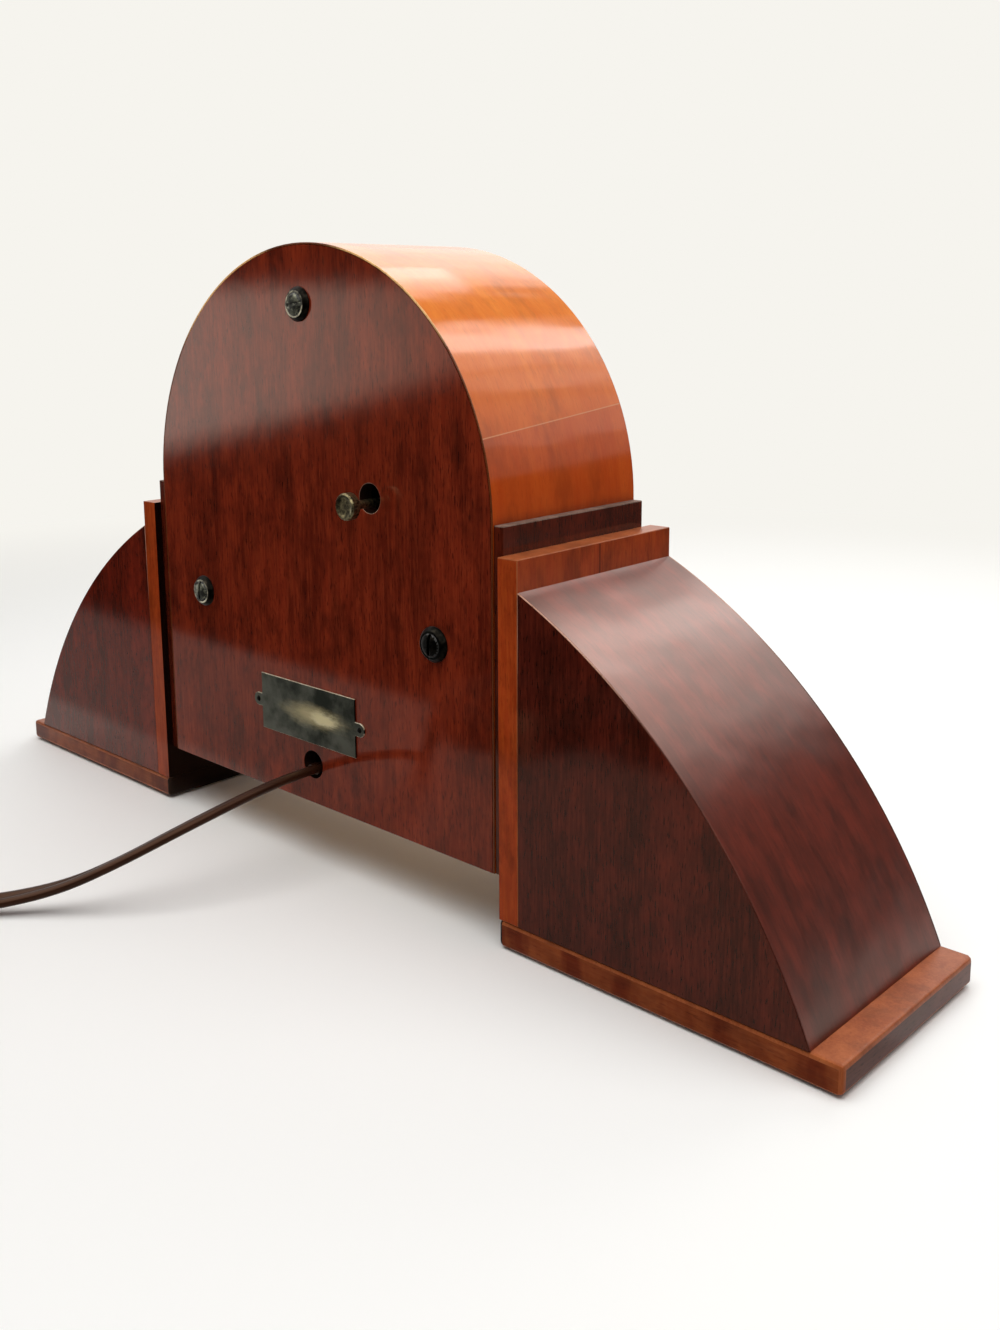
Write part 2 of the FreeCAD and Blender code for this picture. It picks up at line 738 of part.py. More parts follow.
def movement_frame():
    """Plates, pillars and their screws."""
    rotor_x, rotor_z = polar(rotor_distance, math.radians(rotor_direction_deg), 0, dial_z)
    middle_x, middle_z = polar(intermediate_distance, math.radians(intermediate_direction_deg), 0, dial_z)
    stud_x, stud_z = motion_place()
    shared = [
        (middle_x, middle_z, intermediate_arbor_radius + running_gap),
        (setting_x, setting_z, setting_shaft_radius + running_gap),
    ]
    front_holes = shared + [
        (0, dial_z, minute_tube_radius + running_gap),
        (stud_x, stud_z, motion_stud_radius + press_gap),
    ]
    back_holes = shared + [
        (0, dial_z, seconds_arbor_radius + running_gap),
        (rotor_x, rotor_z, 2 * rotor_shaft_radius),
    ]
    back_holes += [(x, z, field_screw_radius + running_gap) for x, z in field_post_places()]
    pillars = []
    screws = []
    for x, z in pillar_places():
        hole = pillar_screw_radius + running_gap
        front_holes.append((x, z, hole))
        back_holes.append((x, z, hole))
        post = rod(x, z, pillar_radius, plate_inner, back_plate_front)
        reach = pillar_screw_length
        front_thread = rod(x, z, hole, plate_inner - overrun, plate_front + reach)
        back_thread = rod(x, z, hole, back_plate_rear - reach, back_plate_front + overrun)
        pillars.append(without(post, [front_thread, back_thread]))
        head_y = plate_front - pan_sheet
        head_radius = pillar_screw_head_radius
        head_height = pillar_screw_head_height
        screws.append(joined([
            rod(x, z, head_radius, head_y - head_height, head_y),
            rod(x, z, pillar_screw_radius, head_y, plate_front + reach - running_gap),
        ]))
        screws.append(joined([
            rod(x, z, head_radius, back_plate_rear, back_plate_rear + head_height),
            rod(x, z, pillar_screw_radius, back_plate_rear - reach + running_gap, back_plate_rear),
        ]))
    front = rod(0, dial_z, front_plate_radius, plate_front, plate_inner)
    front_cuts = [drill(x, z, radius, plate_front, plate_inner) for x, z, radius in front_holes]
    nodes["movement_front_plate"] = without(front, front_cuts)
    half = back_plate_half_width
    back = block(-half, half, back_plate_front, back_plate_rear, dial_z - half, dial_z + half)
    corners = [e for e in back.Edges if abs(e.Length - plate_thickness) < panel_gap]
    back = back.makeFillet(back_plate_corner_radius, corners)
    back_cuts = [drill(x, z, radius, back_plate_front, back_plate_rear) for x, z, radius in back_holes]
    nodes["movement_back_plate"] = without(back, back_cuts)
    nodes["movement_pillars"] = Part.makeCompound(pillars)
    nodes["pillar_screws"] = Part.makeCompound(screws)


def time_train():
    """Rotor pinion, seconds arbor and wheel, intermediate arbor and wheel, centre wheel."""
    rotor_angle = math.radians(rotor_direction_deg)
    middle_angle = math.radians(intermediate_direction_deg)
    rx, rz = polar(rotor_distance, rotor_angle, 0, dial_z)
    mx, mz = polar(intermediate_distance, middle_angle, 0, dial_z)

    wheel_y = plate_inner + seconds_wheel_place
    nodes["seconds_wheel"] = crossed_wheel(seconds_teeth, seconds_module, rotor_angle, wheel_y, 0, dial_z,
                                           seconds_arbor_radius + press_gap)
    phase = meshed(rotor_angle, seconds_teeth, rotor_angle, rotor_teeth)
    nodes["rotor_pinion"] = joined([
        toothed(rotor_teeth, seconds_module, phase, wheel_y - pinion_overhang,
                wheel_y + wheel_thickness + pinion_overhang, rx, rz, pinion=True),
        rod(rx, rz, rotor_shaft_radius, wheel_y, back_plate_rear + rotor_bearing_depth - motion_end_play),
    ])

    wheel_y = plate_inner + intermediate_wheel_place
    nodes["seconds_arbor"] = joined([
        rod(0, dial_z, seconds_arbor_radius, second_hand_front() - second_hub_cap / 2, back_plate_rear),
        toothed(seconds_pinion_teeth, intermediate_module, middle_angle, wheel_y - pinion_overhang,
                wheel_y + wheel_thickness + pinion_overhang, 0, dial_z, pinion=True),
    ])
    back_angle = middle_angle + math.pi
    phase = meshed(middle_angle, seconds_pinion_teeth, middle_angle, intermediate_teeth)
    bore = intermediate_arbor_radius + press_gap
    nodes["intermediate_wheel"] = crossed_wheel(intermediate_teeth, intermediate_module, phase,
                                                wheel_y, mx, mz, bore)
    wheel_y = plate_inner + centre_wheel_place
    nodes["intermediate_arbor"] = joined([
        rod(mx, mz, intermediate_arbor_radius, plate_front, back_plate_rear),
        toothed(intermediate_pinion_teeth, centre_module, back_angle, wheel_y - pinion_overhang,
                wheel_y + wheel_thickness + pinion_overhang, mx, mz, pinion=True),
    ])
    phase = meshed(back_angle, intermediate_pinion_teeth, back_angle, centre_teeth)
    nodes["centre_wheel"] = crossed_wheel(centre_teeth, centre_module, phase, wheel_y, 0, dial_z,
                                          minute_tube_radius + running_gap)


def hour_hand_front():
    return dial_front - hour_hand_clearance - hand_thickness


def minute_hand_front():
    return hour_hand_front() - minute_hand_clearance - hand_thickness


def second_hand_front():
    return minute_hand_front() - second_hand_clearance - hand_thickness


def motion_work():
    """Minute tube with its cannon pinion and clutch spring, motion wheel on its stud, hour wheel, pipe."""
    sx, sz = motion_place()
    direction = math.atan2(sz - dial_z, sx)
    wheel_front = plate_front - motion_wheel_place - wheel_thickness
    pinion_y = (wheel_front - pinion_overhang / 2, plate_front - motion_wheel_place + pinion_overhang / 2)

    bore = seconds_arbor_radius + running_gap
    centre_y = plate_inner + centre_wheel_place
    collar_y = centre_y - running_gap - clutch_collar_thickness
    spring_y = centre_y + wheel_thickness + clutch_spring_gap
    nut_y = spring_y + clutch_spring_rise + clutch_spring_sheet
    tube_rear = nut_y + clutch_nut_thickness
    whole = joined([
        rod(0, dial_z, minute_tube_radius, minute_hand_front() - pipe_end_stand, tube_rear),
        rod(0, dial_z, clutch_collar_radius, collar_y, collar_y + clutch_collar_thickness),
        toothed(cannon_teeth, motion_module, direction, pinion_y[0], pinion_y[1], 0, dial_z, pinion=True),
        rod(0, dial_z, clutch_collar_radius, nut_y + press_gap, tube_rear),
    ])
    nodes["minute_tube"] = whole.cut(drill(0, dial_z, bore, minute_hand_front(), tube_rear))
    seat = minute_tube_radius + press_gap
    foot = clutch_collar_radius
    nodes["clutch_spring"] = turned([
        (seat, nut_y - clutch_spring_sheet),
        (foot, nut_y - clutch_spring_sheet),
        (clutch_spring_radius, spring_y),
        (clutch_spring_radius, spring_y + clutch_spring_sheet),
        (foot, nut_y),
        (seat, nut_y),
    ], 0, dial_z)

    phase = meshed(direction, cannon_teeth, direction, motion_teeth)
    stud_bore = motion_stud_radius + running_gap
    wheel = crossed_wheel(motion_teeth, motion_module, phase, wheel_front, sx, sz, stud_bore)
    leaves_front = wheel_front - motion_pinion_length
    leaves = toothed(motion_pinion_teeth, hour_module, direction + math.pi, leaves_front,
                     wheel_front, sx, sz, pinion=True)
    nodes["motion_wheel"] = joined([wheel, leaves]).cut(drill(sx, sz, stud_bore, leaves_front, wheel_front))
    stud_front = leaves_front - motion_end_play
    shoulder_front = plate_front - motion_wheel_place + motion_end_play
    nodes["motion_stud"] = joined([
        rod(sx, sz, motion_stud_radius, stud_front, plate_inner),
        rod(sx, sz, motion_stud_head_radius, stud_front - motion_stud_head_height, stud_front),
        rod(sx, sz, motion_stud_head_radius, shoulder_front, plate_front),
    ])

    hour_y = plate_front - hour_wheel_place - wheel_thickness
    phase = meshed(direction + math.pi, motion_pinion_teeth, direction + math.pi, hour_teeth)
    pipe_bore = minute_tube_radius + running_gap
    pipe = rod(0, dial_z, hour_pipe_radius, hour_hand_front() - pipe_end_stand, hour_y + wheel_thickness)
    wheel = crossed_wheel(hour_teeth, hour_module, phase, hour_y, 0, dial_z, pipe_bore)
    bore = drill(0, dial_z, pipe_bore, hour_hand_front(), hour_y + wheel_thickness)
    nodes["hour_wheel"] = joined([wheel, pipe]).cut(bore)

    back = math.atan2(setting_z - sz, setting_x - sx)
    first = meshed(direction, cannon_teeth, direction, motion_teeth)
    phase = meshed(first, motion_teeth, back, setting_teeth)
    collar_y = plate_inner + motion_end_play
    x, z = setting_x, setting_z
    nodes["setting_shaft"] = joined([
        toothed(setting_teeth, motion_module, phase, pinion_y[0], pinion_y[1], x, z, pinion=True),
        rod(x, z, setting_shaft_radius, pinion_y[0], back_y + knob_stand + knob_length / 2),
        rod(x, z, setting_collar_radius, collar_y, collar_y + setting_collar_thickness),
    ])


def hand(length, width, hub_radius, bore, front, angle_deg, tail=0):
    """A flat pointed hand with a round hub. The angle is clockwise from twelve."""
    rear = front + hand_thickness
    neck = hub_radius + (length - hub_radius) * hand_neck_share
    shoulder = length * (1 - hand_point_share)
    side = width / 2
    thin = min(hand_neck_width, width) / 2
    points = [
        (-thin, -tail),
        (-thin, neck),
        (-side, shoulder),
        (0, length),
        (side, shoulder),
        (thin, neck),
        (thin, -tail),
    ]
    blade = slab_of(outline(points), front, rear)
    shape = joined([blade, rod(0, 0, hub_radius, front, rear)]).cut(drill(0, 0, bore, front, rear))
    shape.translate(Vector(0, 0, dial_z))
    shape.rotate(Vector(0, 0, dial_z), Vector(0, 1, 0), angle_deg)
    return shape


def hands():
    """Hour, minute and second hands at the time they show at rest."""
    nodes["hour_hand"] = hand(hour_hand_length, hour_hand_width, hour_hand_hub_radius,
                              hour_pipe_radius + press_gap, hour_hand_front(), hour_hand_deg)
    nodes["minute_hand"] = hand(minute_hand_length, minute_hand_width, minute_hand_hub_radius,
                                minute_tube_radius + press_gap, minute_hand_front(), minute_hand_deg)
    second = hand(second_hand_length, second_hand_width, second_hand_hub_radius,
                  seconds_arbor_radius + press_gap, second_hand_front(), second_hand_deg,
                  second_hand_tail)
    nodes["second_hand"] = second


def setting_knob():
    """The small knob behind the back panel, fluted round its edge and dished at its end."""
    start = back_y + knob_stand
    end = start + knob_length
    profile = [
        (setting_shaft_radius + press_gap, start - knob_neck_length),
        (knob_neck_radius, start - knob_neck_length),
        (knob_neck_radius, start),
        (knob_radius - knob_round, start),
        (knob_radius, start + knob_round),
        (knob_radius, end - knob_round),
        (knob_radius - knob_round, end),
        (knob_neck_radius, end - knob_dish),
        (0, end - knob_dish),
        (0, start + knob_length / 2 + press_gap),
        (setting_shaft_radius + press_gap, start + knob_length / 2 + press_gap),
    ]
    body = turned(profile, setting_x, setting_z)
    turn = 2 * math.pi / knob_flutes
    flutes = []
    for k in range(knob_flutes):
        x, z = polar(knob_radius + knob_flute_radius / 2, turn * k, setting_x, setting_z)
        flutes.append(rod(x, z, knob_flute_radius, start - overrun, end + overrun))
    nodes["setting_knob"] = without(body, flutes)


def field_post_places():
    """The two posts that hold the field on the back plate."""
    return [(side * field_post_side, dial_z - field_post_drop) for side in (-1, 1)]


def motor():
    """Rotor can, laminated core, coil and the posts that carry the core."""
    rx, rz = polar(rotor_distance, math.radians(rotor_direction_deg), 0, dial_z)
    can_z = rz - rotor_offset
    case_end = back_plate_rear + rotor_gear_case_length
    cap_end = case_end + rotor_cap_length
    edge = rotor_case_round
    can = turned([
        (0, back_plate_rear),
        (rotor_gear_case_radius, back_plate_rear),
        (rotor_gear_case_radius, case_end - edge),
        (rotor_gear_case_radius - edge, case_end),
        (rotor_cap_radius, case_end),
        (rotor_cap_radius, cap_end - edge),
        (rotor_cap_radius - edge, cap_end),
        (0, cap_end),
    ], rx, can_z)
    bearing = rod(rx, rz, rotor_shaft_radius + running_gap, back_plate_rear - overrun,
                  back_plate_rear + rotor_bearing_depth)
    nodes["rotor_can"] = can.cut(bearing)

    core_y0 = case_end + core_gap
    core_y1 = core_y0 + core_thickness
    top, bottom = can_z + core_top_rise, can_z - core_drop
    bar_top = bottom + core_bar_height
    limb = core_half_width - core_limb_width
    core = block(-core_half_width, core_half_width, core_y0, core_y1, bottom, top)
    window_top = bar_top + core_window_height
    window = block(-limb, limb, core_y0 - overrun, core_y1 + overrun, bar_top, window_top)
    bore = drill(rx, can_z, rotor_cap_radius + core_gap, core_y0, core_y1)
    gap = block(-pole_gap / 2, pole_gap / 2, core_y0 - overrun, core_y1 + overrun,
                window_top - overrun, can_z)
    screw_hole = field_screw_radius + running_gap
    screw_holes = [drill(x, z, screw_hole, core_y0, core_y1) for x, z in field_post_places()]
    nodes["field_core"] = without(core, [window, bore, gap] + screw_holes)

    half = limb - coil_end_gap
    wrap = block(-half, half, core_y0 - coil_wall, core_y1 + coil_wall,
                 bottom - coil_wall, bar_top + coil_wall)
    long_edges = [e for e in wrap.Edges if abs(e.Length - 2 * half) < panel_gap]
    wrap = wrap.makeFillet(coil_round, long_edges)
    bar = block(-half - overrun, half + overrun, core_y0 - running_gap, core_y1 + running_gap,
                bottom - running_gap, bar_top + running_gap)
    nodes["field_coil"] = wrap.cut(bar)

    posts = [tube(x, z, field_post_radius, screw_hole, back_plate_rear, core_y0)
             for x, z in field_post_places()]
    nodes["field_posts"] = Part.makeCompound(posts)
    screws = []
    for x, z in field_post_places():
        screws.append(joined([
            rod(x, z, field_screw_radius, back_plate_front, core_y1),
            rod(x, z, field_screw_head_radius, core_y1, core_y1 + field_screw_head_height),
        ]))
    nodes["field_screws"] = Part.makeCompound(screws)
    return bottom - coil_wall, (core_y0 + core_y1) / 2


def swept(path, start, along, diameter):
    """A round tube along a wire of lines and arcs."""
    circle = Part.Wire(Part.makeCircle(diameter / 2, start, along))
    return path.makePipeShell([circle], True, False)


def rounded_path(points, radii):
    """Straight runs joined by tangent arcs, one radius for each inner point."""
    edges = []
    start = points[0]
    for before, corner, after, radius in zip(points, points[1:], points[2:], radii):
        back = (before - corner).normalize()
        ahead = (after - corner).normalize()
        half_turn = (math.pi - back.getAngle(ahead)) / 2
        reach = radius * math.tan(half_turn)
        enter = corner + back * reach
        leave = corner + ahead * reach
        bisector = (back + ahead).normalize()
        middle = corner + bisector * (radius / math.cos(half_turn) - radius)
        edges.append(Part.LineSegment(start, enter).toShape())
        edges.append(Part.Arc(enter, middle, leave).toShape())
        start = leave
    edges.append(Part.LineSegment(start, points[-1]).toShape())
    return Part.Wire(edges)


def cord_radii(points):
    """Each arc of a cord is as large as its two runs allow."""
    radii = []
    for before, corner, after in zip(points, points[1:], points[2:]):
        shorter = min((corner - before).Length, (after - corner).Length)
        half_turn = (math.pi - (before - corner).getAngle(after - corner)) / 2
        radii.append(cord_run_share * shorter / math.tan(half_turn))
    return radii


def biarc(p0, t0, p1, t1):
    """Two arcs that leave p0 along t0 and arrive at p1 along t1."""
    chord = p1 - p0
    both = t0 + t1
    a = 2 * (1 - t0.dot(t1))
    b = 2 * chord.dot(both)
    c = -chord.dot(chord)
    if abs(a) < 1e-9:
        reach = -c / b
    else:
        reach = (-b + math.sqrt(b * b - 4 * a * c)) / (2 * a)
    q0, q1 = p0 + t0 * reach, p1 - t1 * reach
    joint = (q0 + q1) * 0.5
    return [arc_from(p0, q0, joint), arc_from(joint, q1, p1)]


def arc_from(start, corner, end):
    """The arc that is tangent to both sides of a corner."""
    back = (start - corner).normalize()
    ahead = (end - corner).normalize()
    angle = back.getAngle(ahead)
    if math.pi - angle < 1e-6:
        return Part.LineSegment(start, end).toShape()
    half_turn = (math.pi - angle) / 2
    radius = (start - corner).Length / math.tan(half_turn)
    middle = corner + (back + ahead).normalize() * (radius / math.cos(half_turn) - radius)
    return Part.Arc(start, middle, end).toShape()


def eased(part):
    """A smooth step from 0 to 1."""
    return part * part * (3 - 2 * part)


def coil_heights():
    """Heights of the lower and upper layers' middle. The lower layer lies on the tie."""
    low = tie_sheet + tie_gap + cord_diameter / 2
    return low, low + coil_pitch


def coil_ring(turns):
    """Radius and height of the cord's middle: in on the lower layer, up, out on the upper, then down."""
    outer = coil_middle_radius + coil_pitch * coil_layer_turns / 2
    inner = outer - coil_pitch * coil_layer_turns
    low, high = coil_heights()
    climb_end = coil_layer_turns + coil_climb_turns
    top_end = climb_end + coil_layer_turns
    if turns <= coil_layer_turns:
        return outer - coil_pitch * turns, low
    if turns <= climb_end:
        part = (turns - coil_layer_turns) / coil_climb_turns
        dip = coil_pitch * coil_climb_turns * part * (1 - part)
        return inner - dip, low + (high - low) * eased(part)
    if turns <= top_end:
        return inner + coil_pitch * (turns - climb_end), high
    part = eased((turns - top_end) / coil_leave_turns)
    return outer + coil_pitch * coil_leave_pitches * part, high + (plug_half_height - high) * part


def coil_point(turns, centre, entry_angle):
    """A point of the cord's middle line in the coil."""
    radius, height = coil_ring(turns)
    angle = entry_angle + 2 * math.pi * turns
    return Vector(centre.x + radius * math.cos(angle), centre.y + radius * math.sin(angle), height)


def lead_route():
    """The cord from the back panel down to the coil. Its points follow the photographed curve."""
    hole_bottom = felt_thickness + cord_hole_height - cord_hole_radius
    exit_z = hole_bottom + cord_hole_gap + cord_diameter / 2
    low = coil_heights()[0]
    return [
        Vector(0, back_y, exit_z),
        Vector(0, back_y + 14.0, exit_z),
        Vector(3.0, back_y + 34.0, 34.2),
        Vector(8.5, back_y + 56.5, 27.8),
        Vector(18.0, back_y + 76.5, 19.0),
        Vector(31.5, back_y + 92.5, 10.4),
        Vector(48.5, back_y + 110.5, 5.4),
        Vector(66.0, back_y + 132.0, low),
        Vector(80.0, back_y + 147.0, low),
    ]


def cord_pieces(motor_bottom, motor_middle):
    """Inner lead, free lead, coil, tie and plug."""
    route = lead_route()
    exit_point = route[0]
    bend_y = motor_middle
    inner = [exit_point, Vector(0, bend_y, exit_point.z), Vector(0, bend_y, motor_bottom)]
    inner_path = rounded_path(inner, [inner_lead_bend])
    nodes["inner_lead"] = swept(inner_path, inner[0], inner[1] - inner[0], cord_diameter)

    radii = cord_radii(route)
    print("cord lead radii", [round(r) for r in radii])
    path = rounded_path(route, radii)
    lead = swept(path, route[0], route[1] - route[0], cord_diameter)
    nodes["cord_lead"] = lead
    section = math.pi * cord_diameter ** 2 / 4
    print("cord lead length", round(path.Length, 1))
    print("cord lead volume share", round(lead.Volume / section / path.Length, 4))

    ahead = (route[-1] - route[-2]).normalize()
    aside = Vector(-ahead.y, ahead.x, 0)
    first = route[-1] + ahead * cord_diameter
    centre = first + aside * coil_ring(0)[0]
    entry = math.atan2(first.y - centre.y, first.x - centre.x)
    last_turn = 2 * coil_layer_turns + coil_climb_turns + coil_leave_turns
    steps = round(last_turn * coil_steps_a_turn)
    small = 1 / (1000 * coil_steps_a_turn)
    points = [coil_point(last_turn * k / steps, centre, entry) for k in range(steps + 1)]
    tangents = [ahead]
    for k in range(1, steps + 1):
        turns = last_turn * k / steps
        before, after = coil_point(turns - small, centre, entry), coil_point(turns, centre, entry)
        tangents.append((after - before).normalize())
    leave = Vector(tangents[-1].x, tangents[-1].y, 0).normalize()
    tangents[-1] = leave
    edges = [Part.LineSegment(route[-1], first).toShape()]
    for k in range(steps):
        edges += biarc(points[k], tangents[k], points[k + 1], tangents[k + 1])
    plug_start = points[-1] + leave * cord_diameter
    edges.append(Part.LineSegment(points[-1], plug_start).toShape())
    path = Part.Wire(edges)
    coil = swept(path, route[-1], ahead, cord_diameter)
    nodes["cord_coil"] = coil
    print("cord coil length", round(path.Length, 1))
    print("cord coil volume share", round(coil.Volume / section / path.Length, 4))
    print("cord coil least gap", round(least_gap(path), 2), "valid", coil.isValid())

    low, high = coil_heights()
    near = coil_ring(coil_layer_turns)[0] - cord_diameter / 2 - 2 * tie_gap
    far_turns = 2 * coil_layer_turns + coil_climb_turns - (1 - tie_turn)
    far = coil_ring(far_turns)[0] + cord_diameter / 2 + tie_gap
    top = high + cord_diameter / 2 + tie_gap
    half = tie_width / 2
    strap = block(near - tie_sheet, far + tie_sheet, -half, half, 0, top + tie_sheet)
    strap = strap.cut(block(near, far, -half - overrun, half + overrun, tie_sheet, top))
    strap.rotate(Vector(0, 0, 0), Vector(0, 0, 1), math.degrees(entry) + 360 * tie_turn)
    strap.translate(Vector(centre.x, centre.y, 0))
    nodes["cord_tie"] = strap
    plug(plug_start, leave)


def least_gap(path):
    """The least room between two stretches of a coiled cord, measured on points of its middle line."""
    points = path.discretize(Number=round(path.Length / 2))
    step = path.Length / (len(points) - 1)
    apart = round(cord_diameter * math.pi / step)
    least = path.Length
    for k, point in enumerate(points):
        for other in points[k + apart:]:
            gap = point.distanceToPoint(other)
            if gap < least:
                least = gap
    return least - cord_diameter


def plug(start, direction):
    """A two-blade plug with flats above and below, its neck at the cord's end."""
    neck_end = plug_neck_length
    edge = plug_round
    body = turned([
        (0, 0),
        (plug_neck_radius, 0),
        (plug_neck_radius, neck_end),
        (plug_radius - edge, neck_end + edge),
        (plug_radius, neck_end + 2 * edge),
        (plug_radius, plug_length - edge),
        (plug_radius - edge, plug_length),
        (0, plug_length),
    ], 0, 0)
    wide = 2 * plug_radius
    flats = block(-wide, wide, -overrun, plug_length + overrun, -plug_half_height, plug_half_height)
    body = body.common(flats)
    blades = []
    slots = []
    gap = blade_slot_gap
    root = plug_length - blade_root
    for side in (-1, 1):
        x = side * blade_spacing / 2
        half, high = blade_sheet / 2, blade_width / 2
        blades.append(block(x - half, x + half, root + gap, plug_length + blade_length, -high, high))
        half, high = half + gap, high + gap
        slots.append(block(x - half, x + half, root, plug_length + overrun, -high, high))
    body = without(body, slots)
    turn = math.degrees(math.atan2(direction.y, direction.x)) - 90
    for name, shape in (("plug_body", body), ("plug_blades", Part.makeCompound(blades))):
        shape.rotate(Vector(0, 0, 0), Vector(0, 0, 1), turn)
        shape.translate(start)
        nodes[name] = shape


nodes["glue_blocks"] = Part.makeCompound(body_pieces() + side_pieces())
for make in (bezel_pieces, washers_and_screws, label_pieces, movement_frame, time_train, motion_work,
             hands, setting_knob):
    make()
motor_bottom, motor_middle = motor()
cord_pieces(motor_bottom, motor_middle)

os.makedirs("parts", exist_ok=True)
for name, shape in sorted(nodes.items()):
    shape.exportStep("parts/" + name + ".step")
print(len(nodes), "nodes")
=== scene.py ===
import math

import bpy
from mathutils import Matrix, Vector


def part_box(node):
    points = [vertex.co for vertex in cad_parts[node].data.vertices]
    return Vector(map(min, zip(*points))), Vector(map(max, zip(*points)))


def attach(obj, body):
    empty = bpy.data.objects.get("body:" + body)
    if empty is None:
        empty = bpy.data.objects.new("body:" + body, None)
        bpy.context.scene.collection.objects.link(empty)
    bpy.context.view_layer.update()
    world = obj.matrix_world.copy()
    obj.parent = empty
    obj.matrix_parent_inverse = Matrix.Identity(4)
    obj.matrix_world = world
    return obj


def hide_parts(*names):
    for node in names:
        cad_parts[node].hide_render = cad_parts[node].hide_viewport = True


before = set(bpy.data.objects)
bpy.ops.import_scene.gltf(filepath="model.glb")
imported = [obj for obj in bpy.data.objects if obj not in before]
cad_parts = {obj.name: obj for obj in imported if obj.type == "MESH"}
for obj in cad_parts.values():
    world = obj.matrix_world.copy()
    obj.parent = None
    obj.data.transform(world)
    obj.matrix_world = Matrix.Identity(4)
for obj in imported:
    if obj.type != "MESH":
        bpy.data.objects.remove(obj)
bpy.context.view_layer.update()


# Camera behind the clock and a little above it, beyond its left wing, which shows on the right.
# It stands 0.5 m away, so the near wing looks much larger than the far one.
eye = bpy.data.cameras.new("camera")
eye.lens = 34.37
eye.sensor_width = 36.0
eye.shift_x = 0.0814
eye.shift_y = -0.0868
eye.clip_start = 0.01
camera = bpy.data.objects.new("camera", eye)
bpy.context.scene.collection.objects.link(camera)
right = Vector((-0.69083, -0.72272, -0.02046))
up = Vector((0.11501, -0.13779, 0.98376))
back = Vector((-0.71381, 0.67726, 0.17831))
turn = Matrix((right, up, back)).transposed().to_4x4()
camera.matrix_world = Matrix.Translation((-0.3639, 0.3395, 0.2096)) @ turn
bpy.context.scene.camera = camera


# Flexible cord: flat twin lead, 6.4 mm wide, two rubber-covered strands with a groove between them.
# It leaves a plain hole in the back panel, sinks to the table and ends in a tied coil out of view.
mm = 0.001
lead_width = 6.4 * mm
strand_radius = 1.75 * mm
panel_back = 38.65 * mm
lead_hole_z = 37.9 * mm


def linear(code):
    """The linear colour that a shader takes for an sRGB hex code."""
    parts = [int(code[i:i + 2], 16) / 255 for i in (1, 3, 5)]
    return [c / 12.92 if c <= 0.04045 else ((c + 0.055) / 1.055) ** 2.4 for c in parts] + [1.0]


def add(material, kind, inputs=None, **settings):
    """Add a node to a material, with its settings, and its inputs as values or as links."""
    made = material.node_tree.nodes.new("ShaderNode" + kind)
    for name, value in settings.items():
        setattr(made, name, value)
    for name, value in (inputs or {}).items():
        if isinstance(value, bpy.types.NodeSocket):
            material.node_tree.links.new(value, made.inputs[name])
        else:
            made.inputs[name].default_value = value
    return made


def new_finish(name, **inputs):
    """A material of one shader, with the given values or sRGB codes on its own sockets."""
    material = bpy.data.materials.new(name)
    material.use_nodes = True
    shader = material.node_tree.nodes["Principled BSDF"]
    for key, value in inputs.items():
        value = linear(value) if isinstance(value, str) else value
        shader.inputs[key.replace("_", " ")].default_value = value
    return material


def feed(material, **links):
    """Link results to the sockets of a material's shader."""
    shader = material.node_tree.nodes["Principled BSDF"]
    for key, value in links.items():
        material.node_tree.links.new(value, shader.inputs[key.replace("_", " ")])


def tone_of(material):
    """The result that feeds a material's colour so far."""
    return material.node_tree.nodes["Principled BSDF"].inputs["Base Color"].links[0].from_socket


def mottle(material, place, dark, light, lump, detail, **inputs):
    """Colour a material with two tones in soft lumps of a size, and return the lumps."""
    inputs.update(Vector=place, Scale=1 / lump, Detail=detail)
    lumps = add(material, "TexNoise", inputs).outputs["Fac"]
    tone = add(material, "Mix", {0: lumps, 6: linear(dark), 7: linear(light)}, data_type="RGBA").outputs[2]
    feed(material, Base_Color=tone)
    return lumps


def stain(material, share, shade, blend="MIX"):
    """Lay a tone over a material's colour, for stains and for painted light and shade: MIX covers it,
    MULTIPLY lets it show through.
    """
    tone = add(material, "Mix", {0: share, 6: tone_of(material), 7: linear(shade)}, data_type="RGBA",
               blend_type=blend).outputs[2]
    feed(material, Base_Color=tone)


def add_finishes(piece, *materials):
    """Append materials to a piece's own."""
    for material in materials:
        piece.data.materials.append(material)


def dress(piece, material, body, slot, *nodes):
    """Give a piece its material, the body it moves with and the nodes it stands for. slot is not used."""
    piece.data.materials.clear()
    add_finishes(piece, material)
    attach(piece, body)
    if nodes:
        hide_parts(*nodes)


def select_only(piece):
    """Deselect everything else, so that an operator acts on this piece alone."""
    bpy.ops.object.select_all(action="DESELECT")
    piece.select_set(True)
    bpy.context.view_layer.objects.active = piece


# Vulcanised rubber, extruded: dark brown and satin, with a faint dusty bloom and small ripples.
cord_rubber = new_finish("vulcanised rubber", Roughness=0.3, IOR=1.52, Specular_IOR_Level=0.3,
                         Specular_Tint="#ecc0a4")
place = add(cord_rubber, "TexCoord").outputs["Object"]
mottle(cord_rubber, place, "#1a0b06", "#341b10", 11.11 * mm, 4.0)
grit = add(cord_rubber, "TexNoise", {"Vector": place, "Scale": 1 / (0.9 * mm), "Detail": 2.0}).outputs["Fac"]
ripple = add(cord_rubber, "Bump", {"Height": grit, "Strength": 0.25, "Distance": 0.1 * mm}).outputs[0]
feed(cord_rubber, Normal=ripple)

